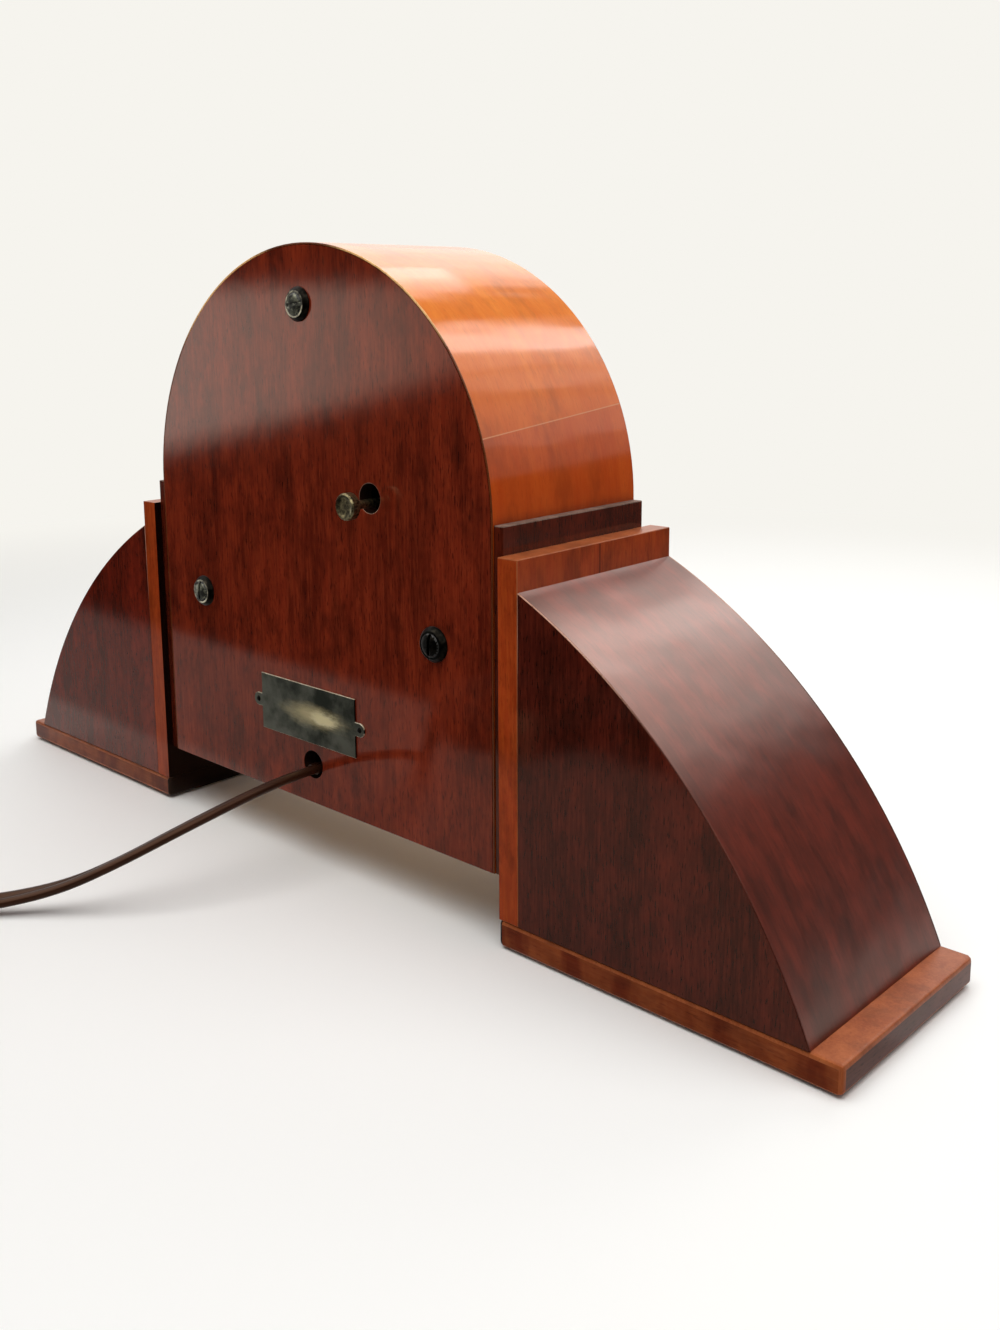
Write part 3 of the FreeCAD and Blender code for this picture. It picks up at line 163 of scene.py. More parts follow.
lead_route = [
    (0.0, panel_back, lead_hole_z),
    (0.0, panel_back + 14.0 * mm, lead_hole_z),
    (3.0 * mm, panel_back + 34.0 * mm, 34.2 * mm),
    (8.5 * mm, panel_back + 56.5 * mm, 27.8 * mm),
    (18.0 * mm, panel_back + 76.5 * mm, 19.0 * mm),
    (31.5 * mm, panel_back + 92.5 * mm, 10.2 * mm),
    (48.5 * mm, panel_back + 110.5 * mm, 4.9 * mm),
    (66.0 * mm, panel_back + 132.0 * mm, 3.6 * mm),
    (80.0 * mm, panel_back + 147.0 * mm, 3.3 * mm),
]
lead_end = Vector(lead_route[-1])
ahead = Vector((14.0, 15.0, 0.0)).normalized()
coil_outer = 48.025 * mm
coil_pitch = 7.0 * mm
coil_low = 4.4 * mm
coil_high = 11.4 * mm
plug_height = 8.5 * mm
plug_step = 1.3 * coil_pitch
coil_start = Vector((lead_end.x, lead_end.y, 0.0)) + ahead * lead_width
coil_centre = coil_start + Vector((-ahead.y, ahead.x, 0.0)) * coil_outer
entry = math.atan2(coil_start.y - coil_centre.y, coil_start.x - coil_centre.x)
settle_turns = 0.4
layer_turns = 2.75
climb_turns = 0.5
leave_turns = 0.5
coil_turns = 2 * layer_turns + climb_turns + leave_turns


def eased(part):
    """A smooth step from 0 to 1."""
    return part * part * (3 - 2 * part)


def coil_point(turns):
    """In on the lower layer, up, out on the upper layer, then down to the plug."""
    inner = coil_outer - coil_pitch * layer_turns
    climb_end = layer_turns + climb_turns
    top_end = climb_end + layer_turns
    if turns <= layer_turns:
        radius = coil_outer - coil_pitch * turns
        height = lead_end.z + (coil_low - lead_end.z) * eased(min(turns / settle_turns, 1.0))
    elif turns <= climb_end:
        part = (turns - layer_turns) / climb_turns
        radius = inner - coil_pitch * climb_turns * part * (1 - part)
        height = coil_low + (coil_high - coil_low) * eased(part)
    elif turns <= top_end:
        radius, height = inner + coil_pitch * (turns - climb_end), coil_high
    else:
        part = eased((turns - top_end) / leave_turns)
        radius = coil_outer + plug_step * part
        height = coil_high + (plug_height - coil_high) * part
    angle = entry + 2 * math.pi * turns
    return Vector((coil_centre.x + radius * math.cos(angle),
                   coil_centre.y + radius * math.sin(angle), height))


def line_of(points):
    """Points along a smooth spline that has the given control points."""
    route = bpy.data.curves.new("route", "CURVE")
    route.dimensions = "3D"
    spline = route.splines.new("NURBS")
    spline.points.add(len(points) - 1)
    for spot, point in zip(spline.points, points):
        spot.co = (*point, 1.0)
    spline.order_u = 3
    spline.use_endpoint_u = True
    spline.resolution_u = 8
    holder = bpy.data.objects.new("route", route)
    mesh = bpy.data.meshes.new_from_object(holder)
    line = [spot.co.copy() for spot in mesh.vertices]
    bpy.data.meshes.remove(mesh)
    bpy.data.objects.remove(holder)
    return line


def twin_lead(name, line, roll):
    """Sweep the figure-of-eight section of the twin lead along a line, rolled by roll(share)."""
    lobe = 12
    spread = lead_width / 2 - strand_radius
    first = math.acos(-spread / strand_radius)
    section = []
    for side in (1, -1):
        for k in range(lobe):
            angle = first - 2 * first * (k + 0.5) / lobe
            section.append((side * (spread + strand_radius * math.cos(angle)),
                            side * strand_radius * math.sin(angle)))
    points = []
    for k, spot in enumerate(line):
        tangent = (line[min(k + 1, len(line) - 1)] - line[max(k - 1, 0)]).normalized()
        aside = tangent.cross(Vector((0, 0, 1))).normalized()
        above = aside.cross(tangent)
        angle = math.radians(roll(k / (len(line) - 1)))
        wide = aside * math.cos(angle) + above * math.sin(angle)
        high = above * math.cos(angle) - aside * math.sin(angle)
        points += [spot + wide * w + high * h for w, h in section]
    size = len(section)
    faces = []
    for k in range(len(line) - 1):
        for j in range(size):
            a, b = k * size + j, k * size + (j + 1) % size
            faces.append((a, a + size, b + size, b))
    faces.append(tuple(range(size)))
    faces.append(tuple(reversed(range(len(points) - size, len(points)))))
    mesh = bpy.data.meshes.new(name)
    mesh.from_pydata(points, [], faces)
    piece = bpy.data.objects.new(name, mesh)
    bpy.context.scene.collection.objects.link(piece)
    select_only(piece)
    bpy.ops.object.mode_set(mode="EDIT")
    bpy.ops.mesh.select_all(action="SELECT")
    bpy.ops.mesh.normals_make_consistent(inside=False)
    bpy.ops.object.mode_set(mode="OBJECT")
    bpy.ops.object.shade_smooth_by_angle(angle=math.radians(50))
    return piece


points_a_turn = 20
steps = round(coil_turns * points_a_turn)
coil_route = [coil_point(coil_turns * k / steps) for k in range(steps + 1)]
leave = coil_route[-1] - coil_point(coil_turns - 0.001)
leave = Vector((leave.x, leave.y, 0.0)).normalized()
plug_start = coil_route[-1] + leave * lead_width
cord_line = line_of(lead_route + coil_route + [plug_start + leave * 2 * mm])

# The lead's roll in degrees, and the shares of its length where that changes.
roll_at_hole, roll_on_edge, sway = -24, 62, 7
turn_start, turn_end, flat_start = 0.022, 0.056, 0.94
sway_rate = 61


def lead_roll(share):
    """Narrow side to the back of the clock at the hole, on edge on the table, flat at the plug."""
    swayed = sway * math.sin(min(share, flat_start) * sway_rate)
    if share < flat_start:
        part = min(max((share - turn_start) / (turn_end - turn_start), 0.0), 1.0)
        return roll_at_hole + (roll_on_edge - roll_at_hole) * eased(part) + swayed
    return (roll_on_edge + swayed) * (1 - eased((share - flat_start) / (1 - flat_start)))


cord = twin_lead("cord", cord_line, lead_roll)
dress(cord, cord_rubber, "case", "cord_rubber", "cord_lead", "cord_coil")


# Studio: a white table, a wide soft lamp overhead and weaker ones in front and aside.
# The gloss sees its own surroundings: pale walls with dark gaps ahead, and a dim room behind.
scene = bpy.context.scene
scene.view_settings.view_transform = "Standard"
wall_white = linear("#f6f4ee")

world = bpy.data.worlds.new("studio walls")
scene.world = world
world.use_nodes = True
rays = add(world, "LightPath").outputs
toward = add(world, "SeparateXYZ", {0: add(world, "TexCoord").outputs["Generated"]}).outputs
slanted = add(world, "Math", {0: toward["X"], 1: 0.37, 2: toward["Z"]}, operation="MULTIPLY_ADD").outputs[0]

# Each border in what the gloss sees: a smooth step from one level to another across a few degrees.
past = {}
for border, value, start, end, low, high in (
    ("ahead", toward["Y"], 0.0, -0.2, 0.0, 1.0),
    ("behind", toward["Y"], 0.0, 0.2, 0.0, 1.0),
    ("above the table", slanted, 0.2, 0.225, 0.0, 1.0),
    ("below the gap", toward["Z"], 0.035, 0.018, 0.0, 1.0),
    ("to the side", toward["X"], 0.64, 0.78, 1.0, 2.1),
    ("high up", toward["Z"], 0.2, 0.6, 0.0, 3.0),
    ("overhead", toward["Z"], 0.72, 0.92, 0.0, 1.0),
):
    step = {"Value": value, "From Min": start, "From Max": end, "To Min": low, "To Max": high}
    past[border] = add(world, "MapRange", step, interpolation_type="SMOOTHSTEP").outputs[0]

# The walls ahead, as bright as their angle over the clock in degrees gives.
over = add(world, "Math", {0: toward["Z"], 1: toward["X"]}, operation="ARCTAN2").outputs[0]
over = add(world, "Math", {0: over}, operation="ABSOLUTE").outputs[0]
half_turns = add(world, "Math", {0: over, 1: math.pi}, operation="DIVIDE").outputs[0]
walls = add(world, "ValToRGB", {"Fac": half_turns})
ramp = walls.color_ramp
ramp.interpolation = "EASE"
for degrees, level in ((0, 0.2), (12, 0.27), (32, 0.45), (50, 0.62), (59, 0.62), (76, 0.09),
                       (100, 0.08), (125, 0.02)):
    stop = ramp.elements.new(degrees / 180)
    stop.color = (level, level, level, 1.0)
ramp.elements.remove(ramp.elements[0])
ramp.elements.remove(ramp.elements[-1])
walls = add(world, "Math", {0: walls.outputs["Color"], 1: 4.0}, operation="MULTIPLY").outputs[0]
walls = add(world, "Math", {0: walls, 1: past["ahead"]}, operation="MULTIPLY").outputs[0]

# The bright band low behind the clock, stronger to the side, and the lamp and ceiling over it.
band = past["above the table"]
for border in ("below the gap", "behind", "to the side"):
    band = add(world, "Math", {0: band, 1: past[border]}, operation="MULTIPLY").outputs[0]
ceiling = add(world, "Math", {0: past["high up"], 1: past["behind"]}, operation="MULTIPLY").outputs[0]
bright = walls
for glow in (band, ceiling, past["overhead"]):
    bright = add(world, "Math", {0: bright, 1: glow}, operation="MAXIMUM").outputs[0]
around = add(world, "Mix", {0: bright, 6: linear("#141210"), 7: [1.0, 0.985, 0.95, 1.0]},
             data_type="RGBA", clamp_factor=False).outputs[2]
lit = add(world, "Mix", {0: rays["Is Glossy Ray"], 6: [0.22, 0.22, 0.22, 1.0], 7: around},
          data_type="RGBA").outputs[2]
seen = add(world, "Math", {0: rays["Is Camera Ray"], 1: rays["Is Transmission Ray"]}, operation="MAXIMUM")
shown = add(world, "Mix", {0: seen.outputs[0], 6: lit, 7: wall_white}, data_type="RGBA").outputs[2]
world.node_tree.links.new(shown, world.node_tree.nodes["Background"].inputs["Color"])

# Matt white card: even and pale. It fades into the walls far off, and to the gloss it ends sooner.
table_top = new_finish("matt white card", Roughness=0.7, Base_Color="#f6f5f2", Specular_IOR_Level=0.2)
place = add(table_top, "TexCoord").outputs["Object"]
spot = add(table_top, "SeparateXYZ", {0: place}).outputs
reach = add(table_top, "VectorMath", {0: place}, operation="LENGTH").outputs["Value"]
far = add(table_top, "MapRange", {"Value": reach, "From Min": 0.36, "From Max": 0.95},
          interpolation_type="SMOOTHSTEP").outputs[0]
aside = add(table_top, "Math", {0: spot["X"], 1: 0.1}, operation="MINIMUM").outputs[0]
near = add(table_top, "Math", {0: aside, 1: -0.25, 2: spot["Y"]}, operation="MULTIPLY_ADD").outputs[0]
near = add(table_top, "MapRange", {"Value": near, "From Min": 0.052, "From Max": 0.066, "To Max": 0.5},
           interpolation_type="SMOOTHSTEP").outputs[0]
edge = add(table_top, "MapRange", {"Value": spot["Y"], "From Min": 0.19, "From Max": 0.23},
           interpolation_type="SMOOTHSTEP").outputs[0]
ends = far
for share in (near, edge):
    ends = add(table_top, "Math", {0: ends, 1: share}, operation="MAXIMUM").outputs[0]
glossy = add(table_top, "LightPath").outputs["Is Glossy Ray"]
open_end = add(table_top, "Math", {0: ends, 1: glossy}, operation="MULTIPLY").outputs[0]
card = table_top.node_tree.nodes["Principled BSDF"].outputs[0]
glow = add(table_top, "Emission", {"Color": wall_white}).outputs[0]
faded = add(table_top, "MixShader", {0: far, 1: card, 2: glow}).outputs[0]
gap = add(table_top, "BsdfTransparent").outputs[0]
both = add(table_top, "MixShader", {0: open_end, 1: faded, 2: gap}).outputs[0]
table_top.node_tree.links.new(both, table_top.node_tree.nodes["Material Output"].inputs[0])

bpy.ops.object.select_all(action="DESELECT")
bpy.ops.mesh.primitive_plane_add(size=12.0, location=(0.0, 0.0, 0.0))
table = bpy.context.object
table.name = "table"
add_finishes(table, table_top)

# Each lamp's place, what it faces, its width, height and power, and whether only the gloss sees it.
for name, place, aim, width, height, power, gloss in (
    ("overhead", (-0.2, 0.15, 1.15), (0.0, 0.0, 0.1), 1.5, 1.2, 15.5, False),
    ("front", (0.1, -0.9, 0.55), (0.0, 0.0, 0.15), 0.9, 0.5, 3.0, False),
    ("side wall, top", (-0.26, -0.45, 0.85), (0.0, -0.45, 0.85), 1.0, 0.7, 5.8, True),
    ("side wall, fold", (-0.26, -0.45, 0.475), (0.0, -0.45, 0.475), 1.0, 0.05, 0.26, True),
    ("side wall, middle", (-0.26, -0.45, 0.42), (0.0, -0.45, 0.42), 1.0, 0.06, 0.52, True),
    ("side wall, lower fold", (-0.26, -0.45, 0.365), (0.0, -0.45, 0.365), 1.0, 0.05, 0.2, True),
    ("side wall, foot", (-0.26, -0.45, 0.2875), (0.0, -0.45, 0.2875), 1.0, 0.105, 0.6, True),
    ("side wall, skirt", (-0.26, -0.45, 0.21), (0.0, -0.45, 0.21), 1.0, 0.05, 0.13, True),
    ("far corner", (-0.012, -0.03, 0.3), (-0.012, -0.03, 0.0), 0.045, 0.11, 0.035, True),
    ("tube", (-0.1375, -0.5, 0.45), (-0.1375, -0.5, 0.0), 0.075, 1.0, 1.35, True),
):
    lamp = bpy.data.lights.new(name, "AREA")
    lamp.shape = "RECTANGLE"
    lamp.size = width
    lamp.size_y = height
    lamp.energy = power
    holder = bpy.data.objects.new(name, lamp)
    holder.visible_camera = False
    holder.visible_glossy = gloss
    holder.visible_diffuse = not gloss
    scene.collection.objects.link(holder)
    holder.location = place
    holder.rotation_euler = (Vector(place) - Vector(aim)).to_track_quat("Z", "Y").to_euler()


# Case panels and band: mahogany veneer on two flat panels and a bent hoop, stained and lacquered.
# Each piece is the fixed frame's own shape with its sharp edges eased, as a cabinet maker sands them.
def veneer(name, tones, along, bend=None, pores=0.7, haze=0.1, shine=0.5, wavy=0.01,
           swell=(9, 9, 9), tint="#ffd2b8"):
    """Lacquered veneer: ribbon, mottle and threads in three tones, dark clouds and pores, tinted lacquer.
    along is the axis of the grain. bend is the x and z of the arc that the grain follows.
    wavy is the depth in mm of the low waves that the glue and the sanding leave, swell their size."""
    material = new_finish(name, IOR=1.5, Specular_IOR_Level=shine, Specular_Tint=tint)
    place = add(material, "TexCoord").outputs["Object"]
    if bend:
        moved = add(material, "VectorMath", {0: place, 1: (-bend[0], 0.0, -bend[1])}).outputs[0]
        axes = add(material, "SeparateXYZ", {0: moved}).outputs
        angle = add(material, "Math", {0: axes["X"], 1: axes["Z"]}, operation="ARCTAN2").outputs[0]
        flat = add(material, "CombineXYZ", {"X": axes["X"], "Z": axes["Z"]}).outputs[0]
        radius = add(material, "VectorMath", {0: flat}, operation="LENGTH").outputs["Value"]
        run = add(material, "Math", {0: angle, 1: radius}, operation="MULTIPLY").outputs[0]
        place = add(material, "CombineXYZ", {"X": radius, "Y": axes["Y"], "Z": run}).outputs[0]

    def figure(across, length, detail, low, high, shift=0.0):
        """Marks of a size in mm across and along the grain, drawn where the noise is above low."""
        scale = [1 / (across * mm)] * 3
        scale["XYZ".index(along)] = 1 / (length * mm)
        laid = add(material, "Mapping", {"Vector": place, "Scale": scale, "Location": (shift, shift, shift)})
        noise = {"Vector": laid.outputs[0], "Scale": 1.0, "Detail": detail, "Roughness": 0.6}
        spread = {"Value": add(material, "TexNoise", noise).outputs["Fac"], "From Min": low, "From Max": high}
        return add(material, "MapRange", spread).outputs[0]

    # Real pores are 0.1 to 0.2 mm wide. They are drawn coarser, so that they show.
    ribbon = figure(13, 150, 3.0, 0.3, 0.7)
    mottle = figure(4.5, 9, 3.0, 0.42, 0.68, 5.0)
    thread = figure(1.0, 14, 2.0, 0.4, 0.65, 9.0)
    pore = figure(0.55, 3.6, 1.0, 0.6, 0.7, 2.0)
    cloud = figure(11, 24, 5.0, 0.5, 0.66, 14.0)
    tone = add(material, "Mix", {0: ribbon, 6: linear(tones[0]), 7: linear(tones[1])},
               data_type="RGBA").outputs[2]
    for marks, strength, shade in ((thread, 0.27, tones[2]), (mottle, 0.5, tones[0]),
                                   (cloud, 0.45, tones[3]), (pore, pores, tones[3])):
        share = add(material, "Math", {0: marks, 1: strength}, operation="MULTIPLY").outputs[0]
        tone = add(material, "Mix", {0: share, 6: tone, 7: linear(shade)}, data_type="RGBA").outputs[2]
    dull = add(material, "MapRange", {"Value": pore, "To Min": haze,
                                      "To Max": haze + 0.04 * pores}).outputs[0]
    laid = add(material, "Mapping", {"Vector": place,
                                     "Scale": [1 / (size * mm) for size in swell]}).outputs[0]
    low_waves = add(material, "TexNoise", {"Vector": laid, "Scale": 1.0, "Detail": 1.0}).outputs["Fac"]
    wave = add(material, "Bump", {"Height": low_waves, "Strength": 1.0, "Distance": wavy * mm}).outputs[0]
    feed(material, Base_Color=tone, Roughness=dull, Normal=wave)
    return material


def copy_of(node, name):
    """A copy of a node's shape as one clean mesh, its flat faces whole."""
    piece = bpy.data.objects.new(name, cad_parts[node].data.copy())
    scene.collection.objects.link(piece)
    select_only(piece)
    bpy.ops.mesh.customdata_custom_splitnormals_clear()
    bpy.ops.object.mode_set(mode="EDIT")
    bpy.ops.mesh.select_mode(type="VERT")
    bpy.ops.mesh.select_all(action="SELECT")
    bpy.ops.mesh.remove_doubles(threshold=0.001 * mm)
    bpy.ops.mesh.dissolve_limited(angle_limit=math.radians(0.3))
    bpy.ops.object.mode_set(mode="OBJECT")
    return piece


def ease(piece, width, chosen=None):
    """Round the sharp edges of a piece, or those whose middle point is chosen, and smooth it."""
    select_only(piece)
    bpy.ops.object.mode_set(mode="EDIT")
    bpy.ops.mesh.select_mode(type="EDGE")
    bpy.ops.mesh.select_all(action="DESELECT")
    bpy.ops.mesh.edges_select_sharp(sharpness=math.radians(35))
    bpy.ops.object.mode_set(mode="OBJECT")
    spots = piece.data.vertices
    for edge in piece.data.edges:
        a, b = (spots[k].co for k in edge.vertices)
        edge.select = edge.select and (chosen is None or chosen((a + b) / 2))
    bpy.ops.object.mode_set(mode="EDIT")
    bpy.ops.mesh.bevel(offset=width, segments=2, profile=0.5, affect="EDGES", clamp_overlap=True)
    bpy.ops.object.mode_set(mode="OBJECT")
    bpy.ops.object.shade_smooth_by_angle(angle=math.radians(50))
    evened = piece.modifiers.new("evened", "WEIGHTED_NORMAL")
    evened.weight = 100
    evened.keep_sharp = True
    bpy.ops.object.modifier_apply(modifier="evened")
    return piece


def from_axis(spot, x, z):
    """How far a place is from the line through x and z that runs from front to back."""
    return math.hypot(spot.x - x, spot.z - z)


# How much of a face's normal lies along an axis that it faces squarely, or at least partly.
squarely, partly = 0.97, 0.3

# Mahogany veneer, stained: deep red-brown with soft mottle and short dark pores under a clear gloss.
# Inside a hole it is painted nearly black as painted shade. A chipped rim shows the pale wood below.
mahogany = ("#49140a", "#792814", "#9a3d20", "#200806")
panel_veneer = veneer("mahogany veneer, lacquered", mahogany, "Z", pores=0.6, haze=0.07)
hole_painted_shade = veneer("mahogany inside a hole, painted near black as shade", ("#0d0503", "#1a0a06", "#2a120a", "#060202"),
                   "Z", haze=0.7, shine=0.2)
chipped_rim = veneer("mahogany veneer, chipped at the hole", ("#6a3c2a", "#c8967a", "#ecc8b0", "#301008"),
                     "X")
dial_z = 138.4 * mm
hole_reach, opening_reach = 7 * mm, 80 * mm
lead_hole = (0.0, 40.0 * mm)
setting_hole = (-36.05 * mm, 147.5 * mm)
openings = ((*lead_hole, hole_reach), (*setting_hole, hole_reach), (0.0, dial_z, opening_reach))
for name in ("front_panel", "back_panel"):
    panel = ease(copy_of(name, name + "_veneered"), 0.25 * mm,
                 lambda spot: any(from_axis(spot, x, z) < reach for x, z, reach in openings))
    dress(panel, panel_veneer, "case", "dark_mahogany", name)
    add_finishes(panel, hole_painted_shade, chipped_rim)
    if name == "back_panel":
        for face in panel.data.polygons:
            facing = abs(face.normal.y)
            at_setting_hole = from_axis(face.center, *setting_hole) < hole_reach
            at_lead_hole = from_axis(face.center, *lead_hole) < hole_reach
            # Painted shade: the walls of both holes are nearly black. The bevels round the setting hole are
            # chipped.
            if facing < 0.5 and (at_setting_hole or at_lead_hole):
                face.material_index = 1
            elif 0.5 <= facing < squarely and at_setting_hole:
                face.material_index = 2

# Lighter veneer under honey lacquer: warm orange, a soft gloss broken by the low waves of the bending.
# It is painted darker towards its feet as painted shade, and low on its left half two lengths meet at a pale
# glue line.
band_tones = ("#d06a1c", "#e4822a", "#e88c3a", "#a0561a")
band_z = 143.7 * mm
band_inside = 93 * mm
seam_z = 31.0 * mm
band_veneer = veneer("bent mahogany veneer, honey lacquer", band_tones, "Z", bend=(0.0, band_z), pores=0.3,
                     haze=0.15, shine=0.27, wavy=0.42, swell=(60, 60, 12), tint="#ffeee2")
axes = add(band_veneer, "SeparateXYZ", {0: add(band_veneer, "TexCoord").outputs["Object"]}).outputs
# Painted shade: darker and redder towards the feet, where less light from above falls.
lower_painted_shade = add(band_veneer, "MapRange", {"Value": axes["Z"], "From Min": 232 * mm, "From Max": 150 * mm},
             interpolation_type="SMOOTHSTEP").outputs[0]
stain(band_veneer, lower_painted_shade, "#d4a8a0", "MULTIPLY")
lift = add(band_veneer, "Math", {0: axes["Z"], 1: band_z}, operation="SUBTRACT").outputs[0]
slant = add(band_veneer, "Math", {0: axes["Y"], 1: 0.09, 2: lift}, operation="MULTIPLY_ADD").outputs[0]
left_half = add(band_veneer, "Math", {0: axes["X"], 1: 0.0}, operation="LESS_THAN").outputs[0]
under, from_below, from_above = (
    add(band_veneer, "MapRange", {"Value": slant, "From Min": seam_z + start * mm,
                                  "From Max": seam_z + end * mm}).outputs[0]
    for start, end in ((0.2, -0.2), (-0.3, 0.0), (0.3, 0.0)))
seam = add(band_veneer, "Math", {0: from_below, 1: from_above}, operation="MULTIPLY").outputs[0]
for share, shade, blend in ((under, "#f2e4e2", "MULTIPLY"), (seam, "#c28258", "MIX")):
    share = add(band_veneer, "Math", {0: share, 1: left_half}, operation="MULTIPLY").outputs[0]
    stain(band_veneer, share, shade, blend)

# Band's edge: a pale thin line of painted highlight round the shoulders, with painted shade below and at the
# crown.
band_edge_painted_light = veneer("edge of the band, painted highlight and shade", ("#d8a060", "#f0c080", "#fadcaa", "#a87844"), "Z")
level = add(band_edge_painted_light, "SeparateXYZ", {0: add(band_edge_painted_light, "TexCoord").outputs["Object"]}).outputs["Z"]
painted_shade_low, painted_shade_crown = (
    add(band_edge_painted_light, "MapRange", {"Value": level, "From Min": bare * mm, "From Max": dark * mm}).outputs[0]
    for bare, dark in ((212, 200), (233, 236)))
painted_shade_share = add(band_edge_painted_light, "Math", {0: painted_shade_low, 1: painted_shade_crown}, operation="MAXIMUM").outputs[0]
stain(band_edge_painted_light, painted_shade_share, "#6a4438", "MULTIPLY")
band = ease(copy_of("arch_band", "arch_band_veneered"), 0.3 * mm, lambda spot:
            abs(spot.x) > band_inside or from_axis(spot, 0.0, band_z) > band_inside)
dress(band, band_veneer, "case", "band_veneer", "arch_band")
add_finishes(band, band_edge_painted_light)
for face in band.data.polygons:
    face.material_index = int(abs(face.normal.y) > 0.2)


# Wings: two cheeks and a bent top glued over blocks, the face veneer laid last over cheek and top,
# so that its thin edge shows as a line along the curve.
# The tops are darker mahogany, hazed by dust, with a wavy sheen. The cheeks are darker and glossier,
# the left ones most of all. The veneer's edge is a pale painted highlight, with painted shade low on the
# curve.
wing_tones = ("#38110a", "#682216", "#7a3022", "#180704")
cheek_tones = {"left": ("#2a0c07", "#4e180f", "#702a1a", "#110503"),
               "right": ("#3a0e07", "#6a1e10", "#862e18", "#180604")}
cheek_edge_painted_light = veneer("sanded edge of the cheek veneer", ("#b08068", "#c89c86", "#e0bca8", "#6a3c2c"), "X",
                     haze=0.45, shine=0.15)
# Painted shade: the edge's painted highlight is darker low on the curve.
level = add(cheek_edge_painted_light, "SeparateXYZ", {0: add(cheek_edge_painted_light, "TexCoord").outputs["Object"]}).outputs["Z"]
painted_shade_share = add(cheek_edge_painted_light, "MapRange", {"Value": level, "From Min": 116 * mm, "From Max": 84 * mm},
                 interpolation_type="SMOOTHSTEP").outputs[0]
stain(cheek_edge_painted_light, painted_shade_share, "#5a3630", "MULTIPLY")
arc_x, arc_z, arc_radius = 9.53 * mm, -70.43 * mm, 217.0 * mm
wing_start, slab_top = 106.5 * mm, 10.2 * mm
wing_rear, wing_fore = 41.15 * mm, -42.65 * mm
face_sheet = 0.6 * mm


def make_room(piece):
    """Take the thickness of the face veneer off a wing piece at its front and back."""
    for spot in piece.data.vertices:
        spot.co.y = min(max(spot.co.y, wing_fore + face_sheet), wing_rear - face_sheet)


for side, sign in (("left", -1), ("right", 1)):
    middle = (sign * arc_x, arc_z)
    cheek_veneer = veneer("mahogany veneer on the " + side + " cheeks", cheek_tones[side], "Z", shine=0.4)
    top = copy_of("wing_top_" + side, "wing_top_veneered_" + side)
    make_room(top)
    ease(top, 0.12 * mm, lambda spot: from_axis(spot, *middle) > arc_radius - 1.5 * mm)
    top_veneer = veneer("mahogany veneer over the " + side + " wing", wing_tones, "Z", bend=middle, pores=0.4,
                        haze=0.3, shine=1.15, wavy=0.5, swell=(34, 26, 18), tint="#ffdac8")
    dress(top, top_veneer, "case", "wing_mahogany", "wing_top_" + side)

    for end, outer, inner in (("back", wing_rear, wing_rear - face_sheet),
                              ("front", wing_fore, wing_fore + face_sheet)):
        name = "wing_" + end + "_cheek_" + side
        core = copy_of(name, name + "_core")
        make_room(core)
        bpy.ops.object.select_all(action="DESELECT")
        bpy.ops.mesh.primitive_circle_add(vertices=720, radius=arc_radius, fill_type="NGON",
                                          location=(sign * arc_x, inner, arc_z),
                                          rotation=(math.pi / 2, 0.0, 0.0))
        sheet = bpy.context.object
        bpy.ops.object.transform_apply(location=True, rotation=True, scale=True)
        bpy.ops.object.mode_set(mode="EDIT")
        for corner, outward in (((sign * wing_start, 0.0, 0.0), (sign, 0.0, 0.0)),
                                ((0.0, 0.0, slab_top), (0.0, 0.0, 1.0))):
            bpy.ops.mesh.select_all(action="SELECT")
            bpy.ops.mesh.bisect(plane_co=corner, plane_no=outward, clear_inner=True)
        bpy.ops.mesh.select_all(action="SELECT")
        bpy.ops.mesh.extrude_region_move(TRANSFORM_OT_translate={"value": (0.0, outer - inner, 0.0)})
        bpy.ops.mesh.select_all(action="SELECT")
        bpy.ops.mesh.normals_make_consistent(inside=False)
        bpy.ops.object.mode_set(mode="OBJECT")
        ease(sheet, 0.22 * mm, lambda spot: abs(spot.y - outer) < 0.01 * mm
             and from_axis(spot, *middle) > arc_radius - 0.5 * mm)
        add_finishes(sheet, cheek_veneer, cheek_edge_painted_light)
        for face in sheet.data.polygons:
            face.material_index = int(abs(face.normal.y) < 0.95)
        core.data.materials.clear()
        add_finishes(core, cheek_veneer)
        select_only(sheet)
        core.select_set(True)
        bpy.ops.object.join()
        sheet.name = name + "_veneered"
        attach(sheet, "case")
        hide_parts(name)


# Mouldings: solid mahogany pilasters on the case's sides and slabs under the wings, glued on.
# They are planed, with softly sanded edges that hands and cloths have rubbed.
trim_tones = ("#7c2c0e", "#9c3a16", "#b6561f", "#4a1805")
# The level moulding is a little darker than the upright one, as painted shade near the table.
level_tones_shaded = ("#6a3014", "#86401e", "#9c5630", "#40190a")
dark_tones = ("#300e06", "#54190c", "#702a16", "#150503")
rubbed_and_lit_tones = ("#7e3a1a", "#a0562e", "#b4693c", "#5a2810")
dusty_tones = ("#3c2a22", "#6a5248", "#a08878", "#24160f")
painted_shade_tones = ("#0c0403", "#170805", "#220c06", "#060201")
end_tones = ("#42201a", "#5e3228", "#74443a", "#241008")

# Planed mahogany: orange-brown and satin, its edges rubbed lighter, and on the outer pilasters and slabs its
# tops painted lighter as light from above.
# The inner pilasters are stained nearly black and dusty at their edges, and the sides towards the case are
# painted dark all over as painted shade.
upright_trim = veneer("mahogany moulding, upright grain", trim_tones, "Z", pores=0.3, shine=0.2)
level_trim = veneer("mahogany moulding, level grain", level_tones_shaded, "X", pores=0.35, shine=0.2)
dark_trim = veneer("dark mahogany moulding", dark_tones, "Z")
